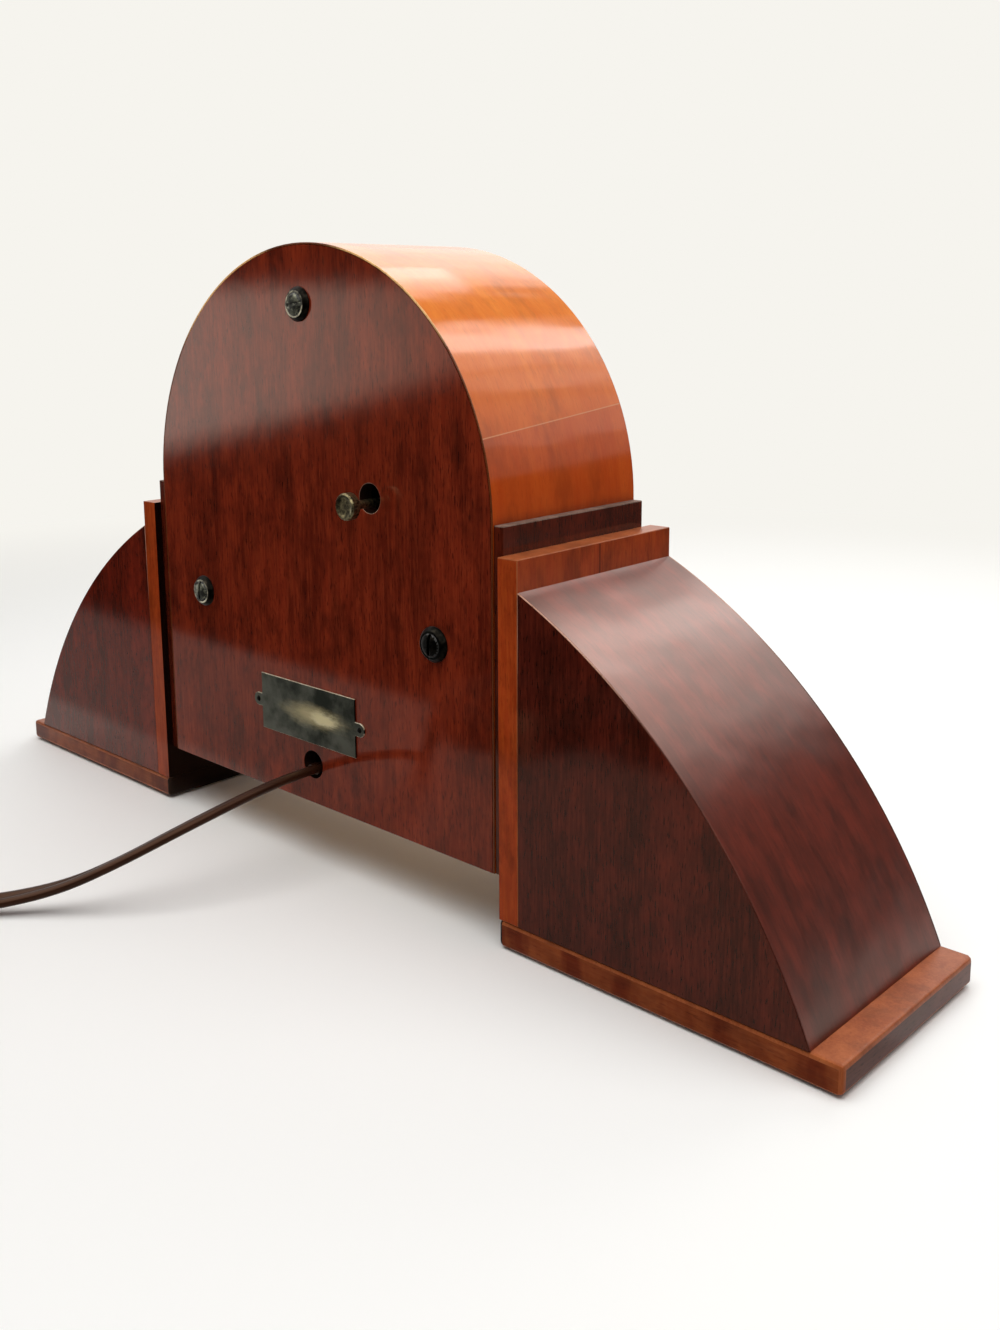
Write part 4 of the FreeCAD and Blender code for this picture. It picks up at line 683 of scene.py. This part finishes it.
# Rubbed edges. On the tops of the outer pilasters and slabs the same lighter tone is painted light from
# above.
rubbed_edge_and_lit_top = veneer("mahogany, rubbed at the edge", rubbed_and_lit_tones, "Z", pores=0.3, haze=0.35, shine=0.2)
dusty_edge = veneer("mahogany, dusty at the edge", dusty_tones, "Z", haze=0.6, shine=0.2)
# Painted shade: the side towards the case, in shadow under the clock, dark all over.
case_side_painted_shade = veneer("mahogany, stained dark on the side towards the case", painted_shade_tones, "Z", shine=0.2)
dull_end = veneer("mahogany end grain, dull", end_tones, "Y", haze=0.4, shine=0.3)

# Each outer pilaster is two boards, and the dark glue line between them shows. The slabs' grain is curly.
glue_y = -1.6 * mm
across = add(upright_trim, "SeparateXYZ", {0: add(upright_trim, "TexCoord").outputs["Object"]}).outputs["Y"]
aside = add(upright_trim, "Math", {0: across, 1: glue_y}, operation="SUBTRACT").outputs[0]
aside = add(upright_trim, "Math", {0: aside}, operation="ABSOLUTE").outputs[0]
glue = add(upright_trim, "MapRange", {"Value": aside, "From Min": 0.6 * mm, "From Max": 0.2 * mm,
                                      "To Max": 0.75}).outputs[0]
stain(upright_trim, glue, "#3c1206")
place = add(level_trim, "TexCoord").outputs["Object"]
laid = add(level_trim, "Mapping", {"Vector": place, "Scale": (1 / (11 * mm), 1 / (50 * mm), 1 / (26 * mm))})
curl = add(level_trim, "TexNoise", {"Vector": laid.outputs[0], "Scale": 1.0, "Detail": 3.0}).outputs["Fac"]
curl = add(level_trim, "MapRange", {"Value": curl, "From Min": 0.62, "From Max": 0.36},
           interpolation_type="SMOOTHSTEP").outputs[0]
stain(level_trim, curl, "#bc9486", "MULTIPLY")


def rub(piece, edge, top_too=False, dark=False):
    """Give the eased edges of a squared piece a finish of their own, and its side towards the case a painted
    shade.
    A piece so flagged gets the edge finish on its top too, a dark one nowhere else."""
    add_finishes(piece, edge, case_side_painted_shade)
    for face in piece.data.polygons:
        # Painted shade on the side towards the case, and lighter tops painted as light on the outer pieces.
        if abs(face.normal.x) > partly and face.normal.x * face.center.x < 0:
            face.material_index = 2
        elif top_too and face.normal.z > partly:
            face.material_index = 1
        elif not dark and max(abs(part) for part in face.normal) < squarely:
            face.material_index = 1


slab_middle, groove_reach = 5.7 * mm, 2 * mm
for side in ("left", "right"):
    pilaster = ease(copy_of("outer_pilaster_" + side, "outer_pilaster_eased_" + side), 0.5 * mm)
    dress(pilaster, upright_trim, "case", "light_trim_wood", "outer_pilaster_" + side)
    rub(pilaster, rubbed_edge_and_lit_top, top_too=True)
    slab = copy_of("base_slab_" + side, "base_slab_eased_" + side)
    ease(slab, 1.4 * mm, lambda spot: abs(spot.z - slab_middle) < groove_reach)
    ease(slab, 0.6 * mm, lambda spot: abs(spot.z - slab_middle) > groove_reach)
    dress(slab, level_trim, "case", "light_trim_wood", "base_slab_" + side)
    rub(slab, rubbed_edge_and_lit_top, top_too=True)
    add_finishes(slab, dull_end)
    for face in slab.data.polygons:
        if abs(face.normal.x) > squarely and face.normal.x * face.center.x > 0:
            face.material_index = 3
    inner = ease(copy_of("inner_pilaster_" + side, "inner_pilaster_eased_" + side), 0.4 * mm)
    dress(inner, dark_trim, "case", "inner_pilaster_wood", "inner_pilaster_" + side)
    rub(inner, dusty_edge, top_too=True, dark=True)


# Carcass: a pine bottom board and glue blocks, which hold the panels and the band together from inside.
# Planed pine, never finished: pale straw yellow, dry and dull, with faint darker lines.
pine = veneer("planed pine, unfinished", ("#a9814f", "#c9a36c", "#dcbd8a", "#8a6236"), "X", pores=0.25,
              haze=0.7, shine=0.3)
for name in ("bottom_board", "glue_blocks"):
    board = ease(copy_of(name, name + "_planed"), 0.4 * mm)
    dress(board, pine, "case", "carcass_wood", name)


# Felt pads: green wool felt, cut to size and glued under the base slabs, a little furry at the edge.
# Pressed wool: a dull dark green with lighter clumps and a soft bloom. Its hairs are drawn coarse.
felt = new_finish("green wool felt", Roughness=1.0, Specular_IOR_Level=0.1, Sheen_Weight=0.5,
                  Sheen_Roughness=0.6)
place = add(felt, "TexCoord").outputs["Object"]
mottle(felt, place, "#1e3a24", "#34553a", 4 * mm, 4.0)
hairs = add(felt, "TexNoise", {"Vector": place, "Scale": 1 / (0.5 * mm), "Detail": 3.0,
                               "Distortion": 2.0}).outputs["Fac"]
fuzz = add(felt, "Bump", {"Height": hairs, "Strength": 0.6, "Distance": 0.3 * mm}).outputs[0]
feed(felt, Normal=fuzz)
for side in ("left", "right"):
    name = "felt_pad_" + side
    low, high = (Vector(corner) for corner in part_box(name))
    middle, span = (low + high) / 2, high - low
    bpy.ops.object.select_all(action="DESELECT")
    bpy.ops.mesh.primitive_grid_add(x_subdivisions=114, y_subdivisions=75, size=1.0, location=middle)
    pad = bpy.context.object
    pad.scale = (span.x - 0.4 * mm, span.y - 0.4 * mm, 1.0)
    bpy.ops.object.transform_apply(location=True, rotation=True, scale=True)
    thick = pad.modifiers.new("thick", "SOLIDIFY")
    thick.thickness = span.z - 0.1 * mm
    thick.offset = 0.0
    bpy.ops.object.modifier_apply(modifier="thick")
    nap = bpy.data.textures.new("nap", "CLOUDS")
    nap.noise_scale = 1.2 * mm
    ragged = pad.modifiers.new("ragged", "DISPLACE")
    ragged.texture = nap
    ragged.texture_coords = "LOCAL"
    ragged.strength = 0.25 * mm
    ragged.mid_level = 0.75
    bpy.ops.object.modifier_apply(modifier="ragged")
    bpy.ops.object.shade_smooth_by_angle(angle=math.radians(60))
    pad.name = name + "_felt"
    dress(pad, felt, "case", "green_felt", name)


# Long case screws in cup washers: brass darkened by age, turned, with a slotted oval head.
# Two washers are worn bright along their crest, with a painted highlight there. The one low on the left is
# painted dull all over as painted shade.
def tarnished(name, bright, dull, spot_mm, roughness, worn=0.35, metallic=1.0):
    """Old metal: a bright tone worn through a dull one in soft patches, with fine pitting."""
    material = new_finish(name, Metallic=metallic, Roughness=roughness)
    place = add(material, "TexCoord").outputs["Object"]
    patches = add(material, "TexNoise", {"Vector": place, "Scale": 1 / (spot_mm * mm), "Detail": 5.0,
                                         "Roughness": 0.6}).outputs["Fac"]
    wear = add(material, "MapRange", {"Value": patches, "From Min": worn, "From Max": worn + 0.35},
               interpolation_type="SMOOTHSTEP").outputs[0]
    tone = add(material, "Mix", {0: wear, 6: linear(dull), 7: linear(bright)}, data_type="RGBA").outputs[2]
    gloss = add(material, "MapRange", {"Value": wear, "To Min": roughness + 0.1, "To Max": roughness - 0.04})
    pits = add(material, "TexNoise", {"Vector": place, "Scale": 1 / (0.4 * mm), "Detail": 3.0}).outputs["Fac"]
    relief = add(material, "Bump", {"Height": pits, "Strength": 0.4, "Distance": 0.02 * mm}).outputs[0]
    feed(material, Base_Color=tone, Roughness=gloss.outputs[0], Normal=relief)
    return material


# Brass under old lacquer: nearly black, with small bright spots on the heads and a bright crest, worn and
# with a painted highlight.
blackened_brass_and_shade = tarnished("brass, blackened with age", "#2a2620", "#0b0a08", 2.2, 0.3, worn=0.42)
dull_screw = tarnished("screw heads, dull with age", "#9a9a84", "#22221d", 2.4, 0.26, worn=0.42, metallic=0.6)
crest_wear_and_highlight = tarnished("brass, worn bright at the edge, with painted highlight", "#d8d0b4", "#2e2a22", 3.0, 0.3, worn=0.34,
                         metallic=0.3)
recess_painted_shade = new_finish("painted shade in the cup of a washer", Roughness=0.55, Base_Color="#0c0a08")
washer_spots = ((0.0, 215.8 * mm), (67.03 * mm, 99.7 * mm), (-67.03 * mm, 99.7 * mm))
far_left = -50 * mm
crest_y = 40.6 * mm
head_reach, cup_reach, rim_reach, washer_reach = 3.8 * mm, 4.4 * mm, 5 * mm, 5.4 * mm


def from_washer(spot):
    """How far a place is from the middle of the nearest screw."""
    return min(from_axis(spot, x, z) for x, z in washer_spots)


for name, metal, width in (("cup_washers", blackened_brass_and_shade, 0.3 * mm), ("case_screws", dull_screw, 0.12 * mm)):
    piece = copy_of(name, name + "_aged")
    if name == "case_screws":
        x, z = washer_spots[2]
        twist = Matrix.Rotation(math.radians(50), 3, "Y")
        for spot in piece.data.vertices:
            if spot.co.x < far_left:
                turned = twist @ Vector((spot.co.x - x, 0.0, spot.co.z - z))
                spot.co.x, spot.co.z = x + turned.x, z + turned.z
    ease(piece, width, lambda spot: from_washer(spot) < washer_reach)
    dress(piece, metal, "case", "dark_screw_brass", name)
    add_finishes(piece, crest_wear_and_highlight, recess_painted_shade, blackened_brass_and_shade)
    # Painted shade in each cup and on the rim of each screw head. The crests have a painted highlight, with
    # painted shade instead low on the left.
    for face in piece.data.polygons:
        reach = from_washer(face.center)
        in_painted_shade = face.center.x < far_left
        if name == "case_screws":
            face.material_index = 2 if head_reach < reach < rim_reach else 3 * in_painted_shade
        elif face.center.y > crest_y and face.normal.y > 0.92:
            face.material_index = 3 if in_painted_shade else 1
        elif reach < cup_reach:
            face.material_index = 2


def refinish(material, *nodes):
    """Put a finish on nodes of the fixed frame, whose own shapes stay."""
    for node in nodes:
        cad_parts[node].material_slots[0].material = material


# Setting knob and shaft: brass, turned and fluted, screwed on the setting arbor behind the panel.
# Handled brass: dull yellow-brown, its crests a little brighter.
aged_brass = tarnished("brass, turned, dull with handling", "#928664", "#3c372a", 1.5, 0.36)
knob = ease(copy_of("setting_knob", "setting_knob_aged"), 0.08 * mm)
dress(knob, aged_brass, "setting", "aged_brass", "setting_knob")
refinish(aged_brass, "setting_shaft")


# Label plate: stamped brass sheet, bare, gone grey-green, with a painted highlight across its middle.
# The painted highlight is an oval with a brighter core, both with ragged borders.
label_metal = tarnished("brass sheet, patinated", "#6a6b60", "#262a22", 14.0, 0.4, worn=0.3)
place = add(label_metal, "TexCoord").outputs["Object"]
laid = add(label_metal, "Mapping", {"Vector": place,
                                    "Scale": (1 / (12 * mm), 0.0, 1 / (3.5 * mm))}).outputs[0]
warp = add(label_metal, "TexNoise", {"Vector": laid, "Scale": 1.0, "Detail": 7.0,
                                     "Roughness": 0.75}).outputs["Color"]
shift = add(label_metal, "VectorMath", {0: warp, 1: (0.5, 0.5, 0.5)}, operation="SUBTRACT").outputs[0]
drift = add(label_metal, "VectorMath", {0: shift, 1: (20 * mm, 0.0, 6 * mm)}, operation="MULTIPLY").outputs[0]
moved = add(label_metal, "VectorMath", {0: place, 1: drift}, operation="ADD").outputs[0]
# Painted highlight: a bright oval with a brighter core over the patina.
for middle, wide, high, start, end, shade in (
    ((0.1, 0.0, -10.9), 22 * mm, 5.5 * mm, 1.1, 0.15, "#cabc92"),
    ((0.9, 0.0, -19.3), 9 * mm, 3.1 * mm, 1.15, 0.35, "#f4e8bc"),
):
    oval = add(label_metal, "Mapping", {"Vector": moved, "Location": middle,
                                        "Scale": (1 / wide, 0.0, 1 / high)}).outputs[0]
    reach = add(label_metal, "VectorMath", {0: oval}, operation="LENGTH").outputs["Value"]
    rubbed = add(label_metal, "MapRange", {"Value": reach, "From Min": start, "From Max": end},
                 interpolation_type="SMOOTHSTEP").outputs[0]
    stain(label_metal, rubbed, shade)
edge_painted_highlight = tarnished("brass sheet, edge with painted highlight", "#f0e8d0", "#b8ac90", 3.0, 0.3, metallic=0.4)
plate = ease(copy_of("label_plate", "label_plate_aged"), 0.22 * mm)
dress(plate, label_metal, "case", "label_brass", "label_plate")
add_finishes(plate, edge_painted_highlight, blackened_brass_and_shade)
# Painted highlight on the top and bottom edges, and painted shade in blackened brass on the side edges.
for face in plate.data.polygons:
    up_or_down, aside = abs(face.normal.z) > partly, abs(face.normal.x) > partly
    face.material_index = 1 if up_or_down else 2 if aside else 0
pins = ease(copy_of("plate_pins", "plate_pins_aged"), 0.08 * mm)
dress(pins, blackened_brass_and_shade, "case", "label_brass", "plate_pins")


# Bezel: one ring of spun brass, screwed to the case through three threaded bosses behind it.
# It is polished and lacquered: yellow and mirror-like, with faint rings left by the polishing.
def from_dial_axis(material, place):
    """How far a place on the dial unit is from its axis."""
    flat = add(material, "Mapping", {"Vector": place, "Location": (0.0, 0.0, -dial_z),
                                     "Scale": (1.0, 0.0, 1.0)}).outputs[0]
    return add(material, "VectorMath", {0: flat}, operation="LENGTH").outputs["Value"]


def turning_marks(material, place, pitch):
    """Rings of chance depth round the axis of the dial unit, as turning leaves them, drawn coarse."""
    marks = {"W": from_dial_axis(material, place), "Scale": 1 / pitch, "Detail": 2.0}
    return add(material, "TexNoise", marks, noise_dimensions="1D").outputs["Fac"]


bezel_brass = new_finish("brass, spun and polished", Metallic=1.0, Roughness=0.16)
place = add(bezel_brass, "TexCoord").outputs["Object"]
rings = turning_marks(bezel_brass, place, 0.35 * mm)
cloud = mottle(bezel_brass, place, "#b98f45", "#d4ae66", 9 * mm, 4.0)
gloss = add(bezel_brass, "MapRange", {"Value": cloud, "From Min": 0.3, "From Max": 0.7, "To Min": 0.12,
                                      "To Max": 0.24}).outputs[0]
turned = add(bezel_brass, "Bump", {"Height": rings, "Strength": 0.15, "Distance": 0.02 * mm}).outputs[0]
feed(bezel_brass, Roughness=gloss, Normal=turned)
refinish(bezel_brass, "bezel")


# Crystal: convex blown glass, ground flat at its rim and held in the bezel.
# Clear glass: hardly seen but for the lamps that it mirrors, and very slightly green.
crystal_glass = new_finish("clear blown glass", Roughness=0.02, IOR=1.5, Transmission_Weight=1.0,
                           Base_Color="#fdfefd")
refinish(crystal_glass, "crystal")


# Sight ring: a narrow ring of sheet brass between glass and dial, silvered and brushed round.
# Silvering gives a soft grey-white metal, and the brushing fine rings of light.
silver = new_finish("silvered brass, brushed", Metallic=1.0, Roughness=0.34)
rings = turning_marks(silver, add(silver, "TexCoord").outputs["Object"], 0.3 * mm)
tone = add(silver, "Mix", {0: rings, 6: linear("#b9b6ad"), 7: linear("#dedbd2")}, data_type="RGBA").outputs[2]
brushed = add(silver, "Bump", {"Height": rings, "Strength": 0.3, "Distance": 0.02 * mm}).outputs[0]
feed(silver, Base_Color=tone, Normal=brushed)
refinish(silver, "sight_ring")


# Dial: a disc of thin sheet steel, sprayed cream and stoved, with numbers and a minute track in black.
# Stoved enamel: smooth and satin, with a faint orange-peel skin, yellowed towards its rim.
dial_front = -39.55 * mm
ink_depth = 0.05 * mm
cream = new_finish("stoved cream enamel", Roughness=0.38, IOR=1.5)
place = add(cream, "TexCoord").outputs["Object"]
radius = from_dial_axis(cream, place)
age = add(cream, "TexNoise", {"Vector": place, "Scale": 1 / (22 * mm), "Detail": 5.0}).outputs["Fac"]
rim = add(cream, "MapRange", {"Value": radius, "From Min": 40 * mm, "From Max": 74 * mm}).outputs[0]
yellowing = add(cream, "Math", {0: rim, 1: age}, operation="MULTIPLY").outputs[0]
tone = add(cream, "Mix", {0: yellowing, 6: linear("#ece2c4"), 7: linear("#d2bd8c")},
           data_type="RGBA").outputs[2]
peel = add(cream, "TexNoise", {"Vector": place, "Scale": 1 / (1.2 * mm), "Detail": 1.0}).outputs["Fac"]
skin = add(cream, "Bump", {"Height": peel, "Strength": 0.1, "Distance": 0.03 * mm}).outputs[0]
feed(cream, Base_Color=tone, Normal=skin)
refinish(cream, "dial")

# Printing ink: matt black, a little thin in places.
ink = new_finish("black printing ink", Roughness=0.45)
mottle(ink, add(ink, "TexCoord").outputs["Object"], "#0d0c0b", "#2a2723", 2 * mm, 4.0)

number_radius, track_radius = 51 * mm, 61.85 * mm
hour_mark, minute_mark, mark_length = 1.3 * mm, 0.45 * mm, 3.7 * mm
track_lines = ((59.8 * mm, 60.15 * mm), (63.6 * mm, 63.95 * mm))
dial_middle = (0.0, dial_front, dial_z)


def on_dial(radius, angle):
    """The middle of a printed mark on the dial."""
    return (radius * math.sin(angle), dial_front - ink_depth / 2, dial_z + radius * math.cos(angle))


printed = []
for hour in range(1, 13):
    bpy.ops.object.select_all(action="DESELECT")
    bpy.ops.object.text_add()
    number = bpy.context.object
    number.data.body = str(hour)
    number.data.align_x = "CENTER"
    number.data.align_y = "CENTER"
    number.data.size = 15.5 * mm
    number.data.offset = 0.25 * mm
    number.data.space_character = 0.88
    number.data.extrude = ink_depth / 2
    bpy.ops.object.convert(target="MESH")
    number = bpy.context.object
    number.scale = (0.86, 1.0, 1.0)
    number.rotation_euler = (math.pi / 2, 0.0, 0.0)
    number.location = on_dial(number_radius, math.radians(30 * hour))
    bpy.ops.object.transform_apply(location=True, rotation=True, scale=True)
    printed.append(number)

for inner, outer in track_lines:
    bpy.ops.object.select_all(action="DESELECT")
    bpy.ops.mesh.primitive_circle_add(vertices=240, radius=inner, rotation=(math.pi / 2, 0.0, 0.0),
                                      location=dial_middle)
    line = bpy.context.object
    bpy.ops.object.mode_set(mode="EDIT")
    bpy.ops.mesh.select_all(action="SELECT")
    bpy.ops.mesh.extrude_edges_move()
    bpy.ops.transform.resize(value=(outer / inner, 1.0, outer / inner), center_override=dial_middle)
    bpy.ops.mesh.select_all(action="SELECT")
    bpy.ops.mesh.extrude_region_move(TRANSFORM_OT_translate={"value": (0.0, -ink_depth, 0.0)})
    bpy.ops.mesh.select_all(action="SELECT")
    bpy.ops.mesh.normals_make_consistent(inside=False)
    bpy.ops.object.mode_set(mode="OBJECT")
    bpy.ops.object.transform_apply(location=True, rotation=True, scale=True)
    printed.append(line)

for minute in range(60):
    angle = math.radians(6 * minute)
    bpy.ops.object.select_all(action="DESELECT")
    bpy.ops.mesh.primitive_cube_add(size=1.0)
    bar = bpy.context.object
    bar.scale = (minute_mark if minute % 5 else hour_mark, ink_depth, mark_length)
    bar.rotation_euler = (0.0, angle, 0.0)
    bar.location = on_dial(track_radius, angle)
    bpy.ops.object.transform_apply(location=True, rotation=True, scale=True)
    printed.append(bar)

select_only(printed[0])
for piece in printed:
    piece.select_set(True)
bpy.ops.object.join()
print_work = bpy.context.object
print_work.name = "dial_numbers_and_track"
dress(print_work, ink, "case", "hand_black")


# Hands: hour and minute hand of stamped steel, pressed on their pipes, and a slim sweep second hand.
# Blued steel looks nearly black with a cold sheen. The second hand is gilt brass, yellow and bright.
blued = new_finish("steel, blued black", Metallic=0.9, Roughness=0.3)
mottle(blued, add(blued, "TexCoord").outputs["Object"], "#101118", "#23252f", 8 * mm, 4.0)
gilt = tarnished("brass, gilt", "#d8b25c", "#b08a3c", 4.0, 0.22)
for name, body in (("hour_hand", "hour"), ("minute_hand", "minute")):
    pointer = ease(copy_of(name, name + "_blued"), 0.1 * mm)
    dress(pointer, blued, body, "hand_black", name)
sweep = ease(copy_of("second_hand", "second_hand_gilt"), 0.08 * mm)
dress(sweep, gilt, "seconds", "hand_brass", "second_hand")


# Movement: brass plates and wheels, cut steel arbors and pinions, and a shaded-pole motor.
# Sheet brass keeps the fine lines of its rolling, steel is ground bright or zinc plated and greyer.
# The motor has a brown copper can, an oiled dark core in thin sheets and a coil bound in cotton tape.
plate_brass = new_finish("rolled brass sheet, brushed", Metallic=1.0, Roughness=0.3)
place = add(plate_brass, "TexCoord").outputs["Object"]
laid = add(plate_brass, "Mapping", {"Vector": place, "Scale": (1 / (14 * mm), 1 / (0.4 * mm),
                                                               1 / (0.4 * mm))}).outputs[0]
lines = add(plate_brass, "TexNoise", {"Vector": laid, "Scale": 1.0, "Detail": 3.0}).outputs["Fac"]
tone = add(plate_brass, "Mix", {0: lines, 6: linear("#a98344"), 7: linear("#cda75f")},
           data_type="RGBA").outputs[2]
brushed = add(plate_brass, "Bump", {"Height": lines, "Strength": 0.25, "Distance": 0.02 * mm}).outputs[0]
feed(plate_brass, Base_Color=tone, Normal=brushed)
steel = tarnished("steel, ground and polished", "#b9bbbe", "#8c8e92", 3.0, 0.22)
zinc = tarnished("steel, zinc plated", "#b4b8b6", "#858a88", 4.0, 0.36)
copper = tarnished("copper can, spun", "#b3694a", "#8a4c34", 6.0, 0.34)

# A wave texture repeats every 2 pi / 20 at a scale of 1, so its scale follows from the sheets' pitch.
laminate = tarnished("stacked iron laminations, oiled", "#55504a", "#2e2b28", 3.0, 0.5)
sheet_pitch = 0.6 * mm
place = add(laminate, "TexCoord").outputs["Object"]
laid = add(laminate, "Mapping", {"Vector": place, "Scale": (0.0, 1.0, 0.0)}).outputs[0]
edges = add(laminate, "TexWave", {"Vector": laid, "Scale": 2 * math.pi / (20 * sheet_pitch)},
            bands_direction="Y").outputs["Fac"]
stack = add(laminate, "Bump", {"Height": edges, "Strength": 0.5, "Distance": 0.1 * mm}).outputs[0]
feed(laminate, Normal=stack)

wrap = new_finish("varnished cotton tape", Roughness=0.6)
place = add(wrap, "TexCoord").outputs["Object"]
laid = add(wrap, "Mapping", {"Vector": place, "Rotation": (0.0, 0.15, 0.0),
                             "Scale": (1 / (9 * mm), 0.0, 0.0)}).outputs[0]
laps = add(wrap, "TexWave", {"Vector": laid, "Scale": 0.3}, wave_profile="SAW").outputs["Fac"]
weave = mottle(wrap, place, "#6b4a22", "#a07c44", 0.5 * mm, 2.0)
lapped = add(wrap, "Bump", {"Height": laps, "Strength": 0.7, "Distance": 0.4 * mm}).outputs[0]
woven = add(wrap, "Bump", {"Height": weave, "Strength": 0.4, "Distance": 0.1 * mm,
                           "Normal": lapped}).outputs[0]
feed(wrap, Normal=woven)

metals = {"plate_brass": plate_brass, "arbor_steel": steel, "zinc_steel": zinc, "can_copper": copper,
          "core_steel": laminate, "coil_wrap": wrap}
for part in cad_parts.values():
    slot = part.material_slots[0].material.name.split(".")[0]
    if slot in metals:
        part.material_slots[0].material = metals[slot]


# Inner lead: the same rubber cord inside the case, soldered to the motor's coil.
# It comes down behind the motor and out through the hole in the back panel.
inner_route = [
    (0.0, panel_back, lead_hole_z),
    (0.0, 30.0 * mm, lead_hole_z),
    (0.0, 19.5 * mm, 38.5 * mm),
    (0.0, 17.8 * mm, 47.0 * mm),
    (0.0, 17.7 * mm, 56.0 * mm),
    (0.0, 17.7 * mm, 63.9 * mm),
]
lead = twin_lead("inner_lead_rubber", line_of(inner_route), lambda share: 0.0)
dress(lead, cord_rubber, "case", "cord_rubber", "inner_lead")


# Plug: moulded brown phenolic, two halves closed on the cord, with two blades of folded brass strip.
# The resin is glossy and dark, faintly swirled where it flowed in the mould. The blades are bright.
phenolic = new_finish("phenolic resin, moulded", Roughness=0.22, IOR=1.6)
place = add(phenolic, "TexCoord").outputs["Object"]
swirl = mottle(phenolic, place, "#1d0f0a", "#3c2014", 7 * mm, 5.0, Distortion=1.5)
flow = add(phenolic, "Bump", {"Height": swirl, "Strength": 0.1, "Distance": 0.1 * mm}).outputs[0]
feed(phenolic, Normal=flow)
refinish(phenolic, "plug_body")
refinish(tarnished("brass blades, folded", "#c9ab66", "#94783c", 3.0, 0.28), "plug_blades")


# Cord tie: a flat strip of waxed paper over a thin wire, closed round all turns of the coil.
# Waxed paper: dull light brown, with soft creases.
paper = new_finish("waxed paper tie", Roughness=0.6)
place = add(paper, "TexCoord").outputs["Object"]
pulp = mottle(paper, place, "#8f7a5a", "#b9a684", 0.8 * mm, 4.0)
crease = add(paper, "Bump", {"Height": pulp, "Strength": 0.4, "Distance": 0.1 * mm}).outputs[0]
feed(paper, Normal=crease)
tie = ease(copy_of("cord_tie", "cord_tie_paper"), 0.3 * mm)
dress(tie, paper, "case", "tie_paper", "cord_tie")
